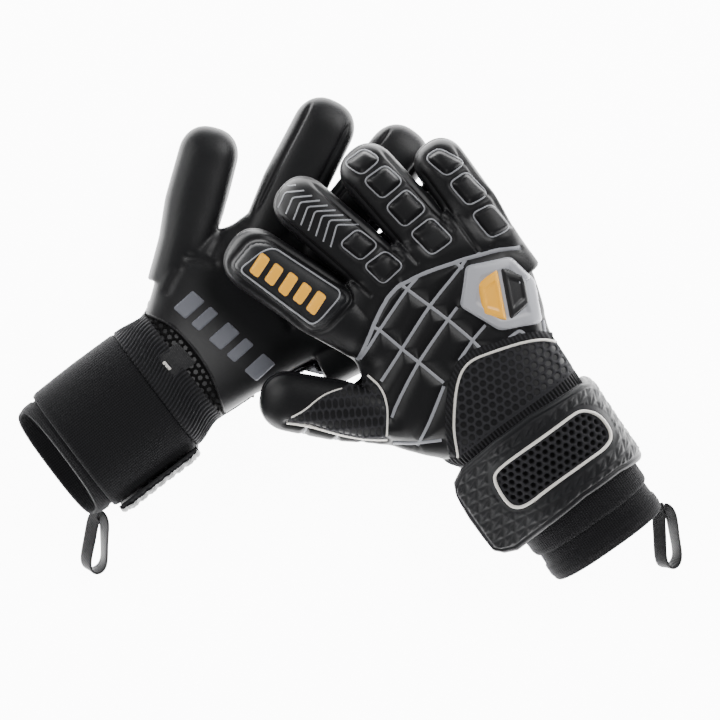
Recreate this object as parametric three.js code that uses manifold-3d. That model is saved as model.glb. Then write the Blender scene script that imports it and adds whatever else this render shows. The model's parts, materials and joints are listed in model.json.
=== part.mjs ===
// A pair of goalkeeper gloves lying on a flat surface: the left glove palm up, the right glove back up across it.
// Each glove is built in its own frame: x towards the little finger, y towards the fingertips, z up.
import * as THREE from "three";
import { mergeVertices } from "three/addons/utils/BufferGeometryUtils.js";
import Module from "manifold-3d";

const wasm = await Module();
wasm.setup();

// Driving dimensions, in millimetres and degrees.
const gap = 0.3; // clearance between pieces that touch
const foamWall = 3.4; // backhand foam and palm latex
const sleeveWall = 2.4; // knitted cuff
const bandThickness = 2.4; // elastic strap round the wrist
const fastenerThickness = 1.2; // each of the hook and the loop pads
const tabThickness = 3.6;
const tabLength = 113; // from the sewn edge to the free end, in plan
const tabWidth = 60;
const tabCorner = 12;
const tailLength = 4; // least length of the tab that runs straight on past the wrist
const windowLength = 72; // air mesh window in the strap tab
const windowWidth = 26;
const windowCorner = 9;
const windowRaise = 2.5; // from the middle of the tab towards the fingers
const windowShift = 3.5; // from the middle of the tab towards its sewn edge
const padLength = 46; // of the hook and the loop pads
const padStop = 88; // length of the tab less the pads' reach past the middle of the wrist
const pipingWidth = 1.8;
const meshThickness = 2.2;
const badgeThickness = 2.6;
const badgeRadius = 25; // to the corners of the six-sided badge
const patchThickness = 2.4;
const patchLength = 64;
const patchWidth = 24;
const labelSize = [16, 12, 0.8];
const loopLength = 38;
const loopWidth = 15;
const loopBand = 4.4; // width of the strip that forms the pull loop
const loopHeight = 6;
const liftOfRight = 10; // tilt of the right glove, whose fingers lie on the left one
const rootShare = 0.82; // width of a finger at its root, as a share of its full width
const roundness = 2.5; // exponent of the rounded cross-sections
const splitAngle = 96; // where mesh and pads meet on the back of the thumb

// Lengths along each glove: hem of the cuff, strap, ribbed elastic and start of the hand.
const hemY = -91;
const bandY = [-72, -15];
const elasticY = [-12, 2];
const handY = 4;
const knuckleY = 122;

// The arch of the air mesh window over the back of the wrist.
const archHeight = 45;
const archCentre = 2;
const archHalfSpan = 46;
const archFullness = 2.6;

const gloves = [
  {
    name: "left",
    backUp: false,
    place: { x: -106, y: -20, turn: -53, tilt: 0, height: 0 },
    cuff: { halfWidth: 40, low: 6.5, high: 50, mouthSlant: 13, hemHalfWidth: 36 },
    // y, thumb side x, little-finger side x, lowest and highest z
    hand: [
      [handY, -38, 35, 6, 45],
      [16, -46, 36, 4, 39],
      [30, -58, 37, 2, 35],
      [42, -70, 38, 2, 32],
      [58, -62, 40, 2, 31],
      [74, -52, 44, 2, 30],
      [86, -52, 51, 2, 29],
      [104, -54, 66, 2, 28],
      [knuckleY, -58, 68, 2, 28],
    ],
    fingers: {
      index: { root: [-34, 95], tip: [-70.5, 170], width: 37.5, low: 2, high: [28, 26], tipDrop: 0 },
      middle: { root: [-6, 112], tip: [-29, 196], width: 37, low: 2, high: [28, 26], tipDrop: 0 },
      ring: { root: [25, 110], tip: [20, 188], width: 35, low: 2, high: [27, 25], tipDrop: 0 },
      pinky: { root: [52, 95], tip: [62, 156], width: 31, low: 2, high: [25, 23], tipDrop: 0 },
      thumb: { root: [-58, 50], tip: [-101, 104], width: 35, low: 2, high: [30, 27], tipDrop: 0 },
    },
    tabY: -10,
    tabSlack: 16,
    badge: [18, 66],
    loop: { at: [38.5, hemY + 7, 22], direction: [0.713, -0.7], droop: 26 },
    label: [-6, 7],
  },
  {
    name: "right",
    backUp: true,
    place: { x: 89.7, y: -38.7, turn: 35, tilt: liftOfRight, height: -1.6 },
    cuff: { halfWidth: 39, low: 0, high: 46, mouthSlant: 0, hemHalfWidth: 37 },
    hand: [
      [handY, -50, 40, 0, 42],
      [16, -62, 41, 0, 40],
      [30, -74, 42, 0, 37],
      [42, -77, 46, 0, 35],
      [58, -70, 51, 0, 34],
      [74, -62, 55, 0, 33],
      [92, -66, 60, 0, 32],
      [knuckleY, -66, 62, 0, 31],
    ],
    fingers: {
      index: { root: [-49, 96.5], tip: [-80, 175], width: 37, low: 0, high: [31, 28], tipDrop: 13 },
      middle: { root: [-18, 110.5], tip: [-37, 184.5], width: 33.5, low: 0, high: [31, 28], tipDrop: 13 },
      ring: { root: [15, 108.5], tip: [7, 178.5], width: 34, low: 0, high: [30, 27], tipDrop: 13 },
      pinky: { root: [45.5, 92], tip: [45, 157.5], width: 30, low: 0, high: [29, 26], tipDrop: 10 },
      thumb: { root: [-68, 46], tip: [-116, 93], width: 34, low: 1, high: [33, 30], tipDrop: 8 },
    },
    tabY: 1,
    tabSlack: 0,
    badge: [29, 64.5],
    loop: { at: [38, hemY - 4, 21], direction: [-0.443, -0.896], droop: 12 },
    label: [-6, 7],
  },
];

const finishes = {
  latex: { color: 0x1b1b1d, roughness: 0.55, metalness: 0 },
  foam: { color: 0x17171a, roughness: 0.5, metalness: 0 },
  knit: { color: 0x101013, roughness: 0.95, metalness: 0 },
  airMesh: { color: 0x131316, roughness: 0.9, metalness: 0 },
  piping: { color: 0xd9d4cc, roughness: 0.8, metalness: 0 },
  silicone: { color: 0xa9aab0, roughness: 0.45, metalness: 0 },
  fastener: { color: 0x1d1d20, roughness: 1, metalness: 0 },
};

const angleSteps = 10; // facets on each half of a rounded section
const halfAngles = Array.from({ length: angleSteps + 1 }, (_, i) => (Math.PI * i) / angleSteps);
const lerp = THREE.MathUtils.lerp;

// Solids and meshes.

function toSolid(geometry) {
  const bare = geometry.clone();
  bare.deleteAttribute("normal");
  bare.deleteAttribute("uv");
  const merged = mergeVertices(bare, 1e-4);
  const vertProperties = new Float32Array(merged.attributes.position.array);
  const triVerts = new Uint32Array(merged.index.array);
  if (volumeOf(vertProperties, triVerts) < 0) triVerts.reverse();
  return new wasm.Manifold(new wasm.Mesh({ numProp: 3, vertProperties, triVerts }));
}

function volumeOf(points, triangles) {
  const corner = (i) => new THREE.Vector3().fromArray(points, 3 * triangles[i]);
  let sum = 0;
  for (let i = 0; i < triangles.length; i += 3) {
    sum += corner(i).dot(corner(i + 1).cross(corner(i + 2)));
  }
  return sum / 6;
}

function toGeometry(solid) {
  const { numProp, numVert, vertProperties, triVerts } = solid.getMesh();
  const points = new Float32Array(numVert * 3);
  for (let i = 0; i < numVert; i++) {
    points.set(vertProperties.subarray(i * numProp, i * numProp + 3), i * 3);
  }
  const geometry = new THREE.BufferGeometry();
  geometry.setAttribute("position", new THREE.BufferAttribute(points, 3));
  geometry.setIndex(new THREE.BufferAttribute(new Uint32Array(triVerts), 1));
  geometry.computeVertexNormals();
  return geometry;
}

function piece(name, solid, finish) {
  const mesh = new THREE.Mesh(toGeometry(solid), new THREE.MeshStandardMaterial(finishes[finish]));
  mesh.name = name;
  return mesh;
}

// A closed solid through matching outlines. Each section is { flat: [[u, v], ...], place: (u, v) => Vector3 }.
function loft(sections) {
  const count = sections[0].flat.length;
  const points = sections.flatMap(({ flat, place }) => flat.map(([u, v]) => place(u, v).toArray()));
  const faces = [];
  for (let s = 0; s + 1 < sections.length; s++) {
    for (let i = 0; i < count; i++) {
      const a = s * count + i;
      const b = s * count + ((i + 1) % count);
      faces.push([a, b, b + count], [a, b + count, a + count]);
    }
  }
  // An end cap turns the way its outline does, and the first one is turned round to face out.
  const cap = (index, flip) => {
    const outline = sections[index].flat.map(([u, v]) => new THREE.Vector2(u, v));
    const clockwise = THREE.ShapeUtils.isClockWise(outline);
    THREE.ShapeUtils.triangulateShape(outline, []).forEach((triangle) => {
      const turned = THREE.ShapeUtils.isClockWise(triangle.map((i) => outline[i])) !== clockwise;
      const [a, b, c] = triangle.map((i) => i + index * count);
      faces.push(turned === flip ? [a, b, c] : [a, c, b]);
    });
  };
  cap(0, true);
  cap(sections.length - 1, false);
  const geometry = new THREE.BufferGeometry();
  geometry.setAttribute("position", new THREE.Float32BufferAttribute(points.flat(), 3));
  geometry.setIndex(faces.flat());
  return toSolid(geometry);
}

function prism(shape, low, high) {
  const geometry = new THREE.ExtrudeGeometry(shape, { depth: high - low, bevelEnabled: false, curveSegments: 3 });
  return toSolid(geometry.translate(0, 0, low));
}

function roundedRectangle(centreX, centreY, width, height, corner) {
  const r = Math.min(corner, width / 2, height / 2);
  const [x0, x1] = [centreX - width / 2, centreX + width / 2];
  const [y0, y1] = [centreY - height / 2, centreY + height / 2];
  const shape = new THREE.Shape();
  shape.moveTo(x0 + r, y0);
  shape.lineTo(x1 - r, y0);
  shape.absarc(x1 - r, y0 + r, r, -Math.PI / 2, 0, false);
  shape.lineTo(x1, y1 - r);
  shape.absarc(x1 - r, y1 - r, r, 0, Math.PI / 2, false);
  shape.lineTo(x0 + r, y1);
  shape.absarc(x0 + r, y1 - r, r, Math.PI / 2, Math.PI, false);
  shape.lineTo(x0, y0 + r);
  shape.absarc(x0 + r, y0 + r, r, Math.PI, 1.5 * Math.PI, false);
  return shape;
}

function box(x0, x1, y0, y1, z0, z1) {
  const geometry = new THREE.BoxGeometry(x1 - x0, y1 - y0, z1 - z0);
  return toSolid(geometry.translate((x0 + x1) / 2, (y0 + y1) / 2, (z0 + z1) / 2));
}

// Rounded cross-sections.

// A point of a rounded section at an angle from the little-finger side, moved out by offset.
function rim(section, angle, offset) {
  const { centre, halfWidth, low, high } = section;
  const power = 2 / roundness;
  const c = Math.cos(angle);
  const s = Math.sin(angle);
  const across = Math.max(halfWidth + offset, 0.12 * halfWidth);
  const up = Math.max((high - low) / 2 + offset, 0.06 * (high - low));
  return [
    centre + across * Math.sign(c) * Math.abs(c) ** power,
    (low + high) / 2 + up * Math.sign(s) * Math.abs(s) ** power,
  ];
}

// The outline of a wall that follows the section between two angles on the upper or the lower side.
function wallOutline(section, side, outer, inner, from = 0, to = Math.PI) {
  const inside = (a) => a > from + 1e-6 && a < to - 1e-6;
  const angles = [from, ...halfAngles.filter(inside), to];
  const at = (a, offset) => {
    const [u, v] = rim(section, side * a, offset);
    return [u, v + (side * gap) / 2];
  };
  return [...angles.map((a) => at(a, outer)), ...angles.reverse().map((a) => at(a, inner))];
}

// The section of a hand or a cuff at y, between the two nearest rows of its table.
function handSection(glove, y) {
  const rows = glove.hand;
  const last = rows.length - 2;
  const found = rows.findIndex((row, i) => i <= last && y <= rows[i + 1][0]);
  const i = found < 0 ? last : found;
  const t = THREE.MathUtils.clamp((y - rows[i][0]) / (rows[i + 1][0] - rows[i][0]), 0, 1);
  const [, left, right, low, high] = rows[i].map((value, k) => lerp(value, rows[i + 1][k], t));
  return { centre: (left + right) / 2, halfWidth: (right - left) / 2, low, high };
}

const cuffSection = ({ cuff }) => ({ centre: 0, halfWidth: cuff.halfWidth, low: cuff.low, high: cuff.high });

function tube(glove, rows, outer, inner, slant = 0) {
  const ring = (offset, stretch) => {
    const ends = [rows[0].y, rows[rows.length - 1].y];
    return loft(rows.map(({ y, section, swell = 0 }) => {
      const flat = [...halfAngles, ...halfAngles.slice(1, -1).map((a) => a + Math.PI)]
        .map((a) => rim(section, a, offset + swell));
      const push = y === ends[0] ? -stretch : y === ends[1] ? stretch : 0;
      const tilt = y === ends[0] ? slant : 0;
      const height = section.high - section.low;
      return { flat, place: (u, v) => new THREE.Vector3(u, y + push - tilt * (section.high - v) / height, v) };
    }));
  };
  return ring(outer, 0).subtract(ring(inner, 1));
}

// Hand.

const backSide = (glove) => (glove.backUp ? 1 : -1);

// The room of the arch, grown by a margin.
function archPrism(margin) {
  const points = [];
  const steps = 14;
  for (let i = 0; i <= steps; i++) {
    const t = -1 + (2 * i) / steps;
    const rise = archHeight - handY - 2;
    const height = rise * (1 - Math.abs(t) ** archFullness);
    points.push(new THREE.Vector2(archCentre + (archHalfSpan + margin) * t, handY + 2 + height + margin));
  }
  points.push(new THREE.Vector2(archCentre + 90, handY + 1 + margin));
  points.push(new THREE.Vector2(archCentre + 90, handY - 20));
  points.push(new THREE.Vector2(archCentre - 90, handY - 20));
  points.push(new THREE.Vector2(archCentre - 90, handY + 1 + margin));
  return prism(new THREE.Shape(points), -60, 120);
}

function handShell(glove, side, outer, inner) {
  return loft(glove.hand.map(([y]) => ({
    flat: wallOutline(handSection(glove, y), side, outer, inner),
    place: (u, v) => new THREE.Vector3(u, y, v),
  })));
}

// Room in front of a finger's root line, a little wider than the finger.
function lane(finger, extra) {
  const { angle } = heading(finger);
  const half = finger.width / 2 + extra;
  const shape = new THREE.Shape([
    new THREE.Vector2(0, -half),
    new THREE.Vector2(70, -half),
    new THREE.Vector2(70, half),
    new THREE.Vector2(0, half),
  ]);
  const geometry = new THREE.ExtrudeGeometry(shape, { depth: 120, bevelEnabled: false });
  geometry.translate(0, 0, -40).rotateZ(angle).translate(finger.root[0], finger.root[1], 0);
  return toSolid(geometry);
}

function handPieces(glove) {
  const lanes = Object.entries(glove.fingers).map(([name, f]) => lane(f, name === "thumb" ? 9 : 3));
  const open = (solid) => lanes.reduce((rest, cutter) => rest.subtract(cutter), solid);
  const side = backSide(glove);
  const sunk = -(foamWall - meshThickness) / 2;
  const shell = handShell(glove, side, 0, -foamWall);
  const meshSkin = handShell(glove, side, sunk, sunk - meshThickness);
  return {
    back: open(shell.subtract(archPrism(pipingWidth + 2 * gap))),
    palm: open(handShell(glove, -side, 0, -foamWall)),
    mesh: meshSkin.intersect(archPrism(0)),
    piping: shell.intersect(archPrism(pipingWidth + gap)).subtract(archPrism(gap)),
  };
}

// Fingers.

function heading(finger) {
  const [dx, dy] = [finger.tip[0] - finger.root[0], finger.tip[1] - finger.root[1]];
  const length = Math.hypot(dx, dy);
  return { x: dx / length, y: dy / length, length, angle: Math.atan2(dy, dx) };
}

// Stations from just past the root line to the rounded tip.
function fingerStations(finger) {
  const { length } = heading(finger);
  const dome = finger.width * 0.46;
  const straight = [gap, 0.3 * length, 0.55 * length, length - dome];
  const rounded = [30, 55, 74, 87].map((a) => THREE.MathUtils.degToRad(a));
  return [
    ...straight.map((along, i) => ({ along, shrink: 1, narrow: i ? 1 : rootShare })),
    ...rounded.map((a) => ({ along: length - dome + dome * Math.sin(a), shrink: Math.cos(a) ** 0.8, narrow: 1 })),
  ];
}

function fingerWall(finger, side, outer, inner, from = 0, to = Math.PI) {
  const { x, y, length } = heading(finger);
  return loft(fingerStations(finger).map(({ along, shrink, narrow }) => {
    const t = along / length;
    const drop = finger.tipDrop * t ** 1.3;
    const height = lerp(finger.high[0], finger.high[1], t) - finger.low;
    const middle = finger.low + height / 2 - drop;
    const section = {
      centre: 0,
      halfWidth: (finger.width / 2) * shrink * narrow * (1 - 0.06 * t),
      low: middle - (height / 2) * shrink,
      high: middle + (height / 2) * shrink,
    };
    const flat = wallOutline(section, side, outer, inner, from, to);
    return {
      flat,
      place: (u, v) => new THREE.Vector3(finger.root[0] + along * x + u * y, finger.root[1] + along * y - u * x, v),
    };
  }));
}

// Strap, its tab and what is on them.

const tabAngles = [-20, ...Array.from({ length: 10 }, (_, i) => i * 15)].map((a) => THREE.MathUtils.degToRad(a));

// A strip that lies over the strap at one offset and runs on past it to the free end.
function tabProfile(glove, offset, withTail) {
  const section = cuffSection(glove);
  const side = backSide(glove);
  const points = tabAngles.map((a) => rim(section, side * a, offset));
  if (withTail) {
    const reach = tabLength - glove.tabSlack - glove.cuff.halfWidth - offset - 8;
    const held = points.filter(([x]) => x > tailLength - reach);
    const [endX, endZ] = held[held.length - 1];
    const along = reach + endX;
    return [...held, [endX - along, endZ - side * along * 0.42]];
  }
  return points;
}

function strip(glove, inner, outer, yRange, withTail) {
  const flat = [...tabProfile(glove, outer, withTail), ...tabProfile(glove, inner, withTail).reverse()];
  return loft(yRange.map((y) => ({ flat, place: (u, v) => new THREE.Vector3(u, y, v) })));
}

function strapPieces(glove) {
  const top = glove.tabY;
  const centreY = top - tabWidth / 2;
  const tabRange = [top - tabWidth, top];
  const hookInner = 2 * gap + fastenerThickness;
  const tabInner = hookInner + fastenerThickness + gap;
  const tabOuter = tabInner + tabThickness;
  const unslacked = -(tabLength - glove.cuff.halfWidth - tabOuter - 8) + 1;
  const free = unslacked + glove.tabSlack;
  const sewn = glove.cuff.halfWidth + tabOuter + 20;
  const outline = (length, width, corner) =>
    prism(roundedRectangle((free + sewn) / 2 + (sewn - free - length) / 2, centreY, length, width, corner), -40, 120);
  const windowCentre = unslacked + tabLength / 2 + windowShift;
  const overCuff = glove.backUp ? [glove.cuff.high - 18, 120] : [-80, glove.cuff.low + 18];
  const windowY = centreY + windowRaise;
  const window = (grow) => prism(
    roundedRectangle(windowCentre, windowY, windowLength + 2 * grow, windowWidth + 2 * grow, windowCorner + grow),
    ...overCuff,
  );
  const whole = strip(glove, tabInner, tabOuter, tabRange, true).intersect(outline(sewn - free, tabWidth, tabCorner));
  const lowFace = tabInner + (tabThickness - meshThickness) / 2;
  const fill = strip(glove, lowFace, lowFace + meshThickness, tabRange, true);
  const padCentre = padStop - tabLength + padLength / 2;
  const fastener = (inner, shrink) => strip(glove, inner, inner + fastenerThickness, tabRange, false).intersect(
    prism(roundedRectangle(padCentre, centreY, padLength - shrink, tabWidth - 10 - shrink, 3), ...overCuff),
  );
  return {
    tab: whole.subtract(window(pipingWidth / 2)),
    piping: whole.intersect(window(pipingWidth / 2 - gap)).subtract(window(-pipingWidth / 2)),
    mesh: fill.intersect(window(-pipingWidth / 2 - gap)),
    hook: fastener(hookInner, 0),
    loop: fastener(gap, 2),
  };
}

function cuffPieces(glove) {
  const { cuff } = glove;
  const section = cuffSection(glove);
  const sleeveOuter = -bandThickness - gap;
  const flare = cuff.hemHalfWidth - (cuff.halfWidth + sleeveOuter);
  const sleeve = tube(glove, [
    { y: hemY + cuff.mouthSlant, section, swell: flare },
    { y: bandY[0] - 5, section, swell: flare * 0.6 },
    { y: bandY[0] - gap, section },
    { y: elasticY[0] - gap, section },
  ], sleeveOuter, sleeveOuter - sleeveWall, cuff.mouthSlant);
  const band = tube(glove, [{ y: bandY[0], section }, { y: bandY[1], section }], 0, -bandThickness);
  const wristStart = handSection(glove, handY);
  const elastic = tube(glove, [
    { y: elasticY[0], section, swell: -1 },
    { y: elasticY[1] + 2 - gap, section: wristStart, swell: -0.8 },
  ], 0, -bandThickness);
  return { sleeve, band, elastic };
}

// Badge, patch, label and pull loop.

function overHand(glove, outline, thickness) {
  const side = backSide(glove);
  const skin = handShell(glove, side, gap + thickness, gap);
  const range = glove.backUp ? [16, 90] : [-40, 12];
  return skin.intersect(prism(outline, ...range));
}

function badge(glove) {
  const [x, y] = glove.badge;
  const points = Array.from({ length: 6 }, (_, i) => {
    const a = (i * Math.PI) / 3 + 0.38;
    return new THREE.Vector2(x + badgeRadius * Math.cos(a), y + badgeRadius * Math.sin(a));
  });
  return overHand(glove, new THREE.Shape(points), badgeThickness);
}

function fingerPatch(glove) {
  const finger = glove.fingers.index;
  const { angle } = heading(finger);
  const side = backSide(glove);
  const skin = fingerWall(finger, side, gap + patchThickness, gap, 0, Math.PI);
  const middle = patchLength / 2 + 2;
  const outline = new THREE.ExtrudeGeometry(
    roundedRectangle(middle, 0, patchLength, patchWidth, 6),
    { depth: 100, bevelEnabled: false, curveSegments: 3 },
  );
  outline.translate(0, 0, glove.backUp ? 6 : -90).rotateZ(angle);
  outline.translate(...finger.root, 0);
  return skin.intersect(toSolid(outline));
}

function pullLoop(glove) {
  const { at, direction } = glove.loop;
  const shape = roundedRectangle(loopLength / 2, 0, loopLength, loopWidth, loopWidth / 2 - 0.5);
  const hole = roundedRectangle(
    loopLength / 2 + 2, 0, loopLength - 2 * loopBand - 4, loopWidth - 2 * loopBand, loopWidth / 2 - loopBand,
  );
  shape.holes.push(hole);
  const geometry = new THREE.ExtrudeGeometry(shape, { depth: loopHeight, bevelEnabled: false, curveSegments: 3 });
  geometry.translate(0, 0, -loopHeight / 2);
  geometry.rotateY(THREE.MathUtils.degToRad(glove.loop.droop));
  geometry.rotateZ(Math.atan2(direction[1], direction[0]));
  return toSolid(geometry.translate(...at));
}

function labelTab(glove) {
  const [w, h, t] = labelSize;
  const side = -backSide(glove);
  const [x, y] = glove.label;
  const skin = handShell(glove, side, gap + t, gap);
  const range = glove.backUp ? [-30, 12] : [20, 90];
  return skin.intersect(prism(roundedRectangle(x, y + h / 2, w, h, 1), ...range));
}

// Assembly.

function gloveGroup(glove) {
  const { name, place, fingers } = glove;
  const side = backSide(glove);
  const inner = new THREE.Group();
  const underFloor = box(-300, 300, -300, 300, -60, 0);
  const settled = (solid) => (place.tilt ? solid : solid.subtract(underFloor));
  const add = (part, solid, finish) => inner.add(piece(`${name}_${part}`, settled(solid), finish));

  const hand = handPieces(glove);
  add("hand_back", hand.back, "foam");
  add("hand_palm", hand.palm, "latex");
  add("wrist_mesh", hand.mesh, "airMesh");
  add("wrist_piping", hand.piping, "piping");

  for (const finger of ["index", "middle", "ring", "pinky"]) {
    add(`${finger}_back`, fingerWall(fingers[finger], side, 0, -foamWall), "foam");
    add(`${finger}_palm`, fingerWall(fingers[finger], -side, 0, -foamWall), "latex");
  }
  const split = THREE.MathUtils.degToRad(splitAngle);
  const seam = gap / (fingers.thumb.width / 2);
  add("thumb_palm", fingerWall(fingers.thumb, -side, 0, -foamWall), "latex");
  add("thumb_back", fingerWall(fingers.thumb, side, 0, -foamWall, split + seam, Math.PI), "foam");
  add("thumb_mesh", fingerWall(fingers.thumb, side, 0, -foamWall, 0, split), "airMesh");

  const cuff = cuffPieces(glove);
  add("cuff_sleeve", cuff.sleeve, "knit");
  add("strap_band", cuff.band, "knit");
  add("wrist_elastic", cuff.elastic, "knit");

  const strap = strapPieces(glove);
  add("strap_tab", strap.tab, "latex");
  add("tab_piping", strap.piping, "piping");
  add("tab_mesh", strap.mesh, "airMesh");
  add("hook_pad", strap.hook, "fastener");
  add("loop_pad", strap.loop, "fastener");

  add("badge", badge(glove), "silicone");
  add("finger_patch", fingerPatch(glove), "latex");
  add("label_tab", labelTab(glove), "knit");
  add("pull_loop", pullLoop(glove), "latex");

  inner.position.y = -hemY;
  const tilted = new THREE.Group().add(inner);
  tilted.position.set(0, hemY, place.height);
  tilted.rotation.x = THREE.MathUtils.degToRad(place.tilt);
  const placed = new THREE.Group().add(tilted);
  placed.position.set(place.x, place.y, 0);
  placed.rotation.z = THREE.MathUtils.degToRad(place.turn);
  return placed;
}

const pair = new THREE.Group();
gloves.forEach((glove) => pair.add(gloveGroup(glove)));
const bounds = new THREE.Box3().setFromObject(pair, true);
const centre = bounds.getCenter(new THREE.Vector3());
pair.children.forEach((child) => child.position.sub(new THREE.Vector3(centre.x, centre.y, bounds.min.z)));

export default pair;
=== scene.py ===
import json
import math

import bpy
import numpy as np
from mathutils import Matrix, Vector
from mathutils.bvhtree import BVHTree
from mathutils.geometry import delaunay_2d_cdt


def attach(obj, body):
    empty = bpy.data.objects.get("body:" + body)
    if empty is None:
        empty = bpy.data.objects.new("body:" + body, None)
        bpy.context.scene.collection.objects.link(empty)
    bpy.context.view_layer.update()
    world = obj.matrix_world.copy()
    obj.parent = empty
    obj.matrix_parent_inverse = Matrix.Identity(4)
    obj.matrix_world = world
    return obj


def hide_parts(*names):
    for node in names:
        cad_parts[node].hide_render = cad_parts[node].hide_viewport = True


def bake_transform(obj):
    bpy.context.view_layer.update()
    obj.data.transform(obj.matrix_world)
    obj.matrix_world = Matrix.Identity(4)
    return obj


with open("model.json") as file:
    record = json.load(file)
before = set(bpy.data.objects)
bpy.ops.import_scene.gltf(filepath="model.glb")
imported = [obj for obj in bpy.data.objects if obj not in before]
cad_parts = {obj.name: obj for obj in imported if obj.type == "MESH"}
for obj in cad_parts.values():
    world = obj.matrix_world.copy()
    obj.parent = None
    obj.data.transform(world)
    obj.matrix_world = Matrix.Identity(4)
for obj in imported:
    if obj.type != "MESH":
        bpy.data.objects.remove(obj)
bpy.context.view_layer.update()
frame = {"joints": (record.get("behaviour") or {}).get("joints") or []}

# All shapes are in millimetres in a glove's own frame: x to the little finger, y to the fingertips, z up.
# "face" is which way the backhand looks: 1 up, -1 down.
gloves = {
    "left": {
        "face": -1, "turn": -53, "tilt": 0, "joint": "left_index_curl", "jointAt": (-34, 95, 28.2),
        "cuff": {"half": 40, "low": 6.5, "high": 50, "hemHalf": 36.5, "slant": 13},
        "tabY": -12,
        "hand": [
            (-24, -36, 33, 9, 47), (4, -38, 35, 6, 45), (16, -45, 36, 4, 40), (30, -57, 37, 2.6, 35),
            (42, -69, 38, 2.4, 32), (58, -60, 40, 2.4, 31), (74, -51, 44, 2.4, 30), (88, -50, 52, 2.4, 29),
            (104, -50, 62, 2.6, 27), (116, -44, 58, 4, 25),
        ],
        "fingers": {
            "index": {"root": (-34, 95), "tip": (-70.5, 170), "width": 38, "low": 2, "high": (28, 26.5)},
            "middle": {"root": (-6, 112), "tip": (-29, 196), "width": 37, "low": 2, "high": (28, 26)},
            "ring": {"root": (25, 110), "tip": (20, 188), "width": 35, "low": 2, "high": (27, 25)},
            "pinky": {"root": (52, 95), "tip": (62, 156), "width": 31, "low": 2, "high": (25, 23)},
            "thumb": {"root": (-58, 50), "tip": (-101, 104.5), "width": 36, "low": 2, "high": (30, 26)},
        },
    },
    "right": {
        "face": 1, "turn": 35, "tilt": 10, "joint": "right_index_straighten", "jointAt": (-49, 96.5, 31.2),
        "cuff": {"half": 39, "low": 0, "high": 46, "hemHalf": 37, "slant": 0},
        "tabY": -7,
        "hand": [
            (-24, -40, 38, 0, 44), (4, -50, 40, 0, 42), (16, -61, 41, 0, 40), (30, -72, 42, 0, 38),
            (42, -75, 46, 0, 36), (58, -68, 51, 0, 35), (74, -61, 55, 0, 34), (90, -60, 58, 0, 33),
            (104, -54, 52, 1, 32), (116, -44, 40, 3, 30),
        ],
        "fingers": {
            "index": {"root": (-49, 96.5), "tip": (-80, 175), "width": 38, "low": 0, "high": (31, 28),
                      "drop": 13},
            "middle": {"root": (-18, 110.5), "tip": (-37, 184.5), "width": 34, "low": 0, "high": (31, 28),
                       "drop": 13},
            "ring": {"root": (15, 108.5), "tip": (7, 178.5), "width": 34.5, "low": 0, "high": (30, 27),
                     "drop": 13},
            "pinky": {"root": (45.5, 92), "tip": (45, 157.5), "width": 31, "low": 0, "high": (29, 26),
                      "drop": 10},
            "thumb": {"root": (-68, 46), "tip": (-116, 93.5), "width": 35, "low": 1, "high": (33, 30),
                      "drop": 8},
        },
    },
}
fingerNames = ["index", "middle", "ring", "pinky", "thumb"]
hemY = -91
skin = {"voxel": 0.8, "smoothing": 14, "roundness": 2.5}

for side, glove in gloves.items():
    glove["side"] = side
    turn, tilt = math.radians(glove["turn"]), math.radians(glove["tilt"])
    spin = np.array([[math.cos(turn), -math.sin(turn), 0], [math.sin(turn), math.cos(turn), 0], [0, 0, 1]])
    lean = np.array([[1, 0, 0], [0, math.cos(tilt), -math.sin(tilt)], [0, math.sin(tilt), math.cos(tilt)]])
    glove["matrix"] = spin @ lean
    jointPlace = next(j["pos_m"] for j in frame["joints"] if j["name"] == glove["joint"])
    glove["shift"] = np.array(jointPlace) * 1000 - glove["matrix"] @ np.array(glove["jointAt"])


def toRow(glove, points):
    return (np.asarray(points, float) @ glove["matrix"].T + glove["shift"]) / 1000


def rim(half, low, high, angles, centre=0.0, power=None):
    p = 2 / (power or skin["roundness"])
    c, s = np.cos(angles), np.sin(angles)
    x = centre + half * np.sign(c) * np.abs(c) ** p
    z = (low + high) / 2 + (high - low) / 2 * np.sign(s) * np.abs(s) ** p
    return np.stack([x, z], 1)


def handRow(glove, y):
    rows = np.array(glove["hand"], float)
    return [smoothAt(rows[:, 0], rows[:, k], y) for k in range(1, 5)]


# A smooth curve through the given points (Catmull-Rom), read at x.
def smoothAt(xs, ys, x):
    i = int(np.clip(np.searchsorted(xs, x) - 1, 0, len(xs) - 2))
    x0, x1, y0, y1 = xs[i], xs[i + 1], ys[i], ys[i + 1]
    slope0 = (y1 - ys[max(i - 1, 0)]) / (x1 - xs[max(i - 1, 0)])
    slope1 = (ys[min(i + 2, len(xs) - 1)] - y0) / (xs[min(i + 2, len(xs) - 1)] - x0)
    h = x1 - x0
    t = np.clip((x - x0) / h, 0, 1)
    return ((1 + 2 * t) * (1 - t) ** 2 * y0 + t * (1 - t) ** 2 * h * slope0
            + t * t * (3 - 2 * t) * y1 + t * t * (t - 1) * h * slope1)


def fingerFrame(finger):
    root, tip = np.array(finger["root"], float), np.array(finger["tip"], float)
    length = np.linalg.norm(tip - root)
    along = (tip - root) / length
    return root, along, np.array([along[1], -along[0]]), length


# Low, high and half width of a finger at a distance from its root.
def fingerSection(finger, distance):
    length = fingerFrame(finger)[3]
    t = max(distance, 0) / length
    low, high = finger["low"], finger["high"][0] + (finger["high"][1] - finger["high"][0]) * t
    drop = finger.get("drop", 0) * t ** 1.3
    narrow = 0.86 + 0.14 * min(1, max(0, distance) / (0.32 * length))
    half = finger["width"] / 2 * narrow * (1 - 0.05 * t)
    return low - drop, high - drop, half


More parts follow.
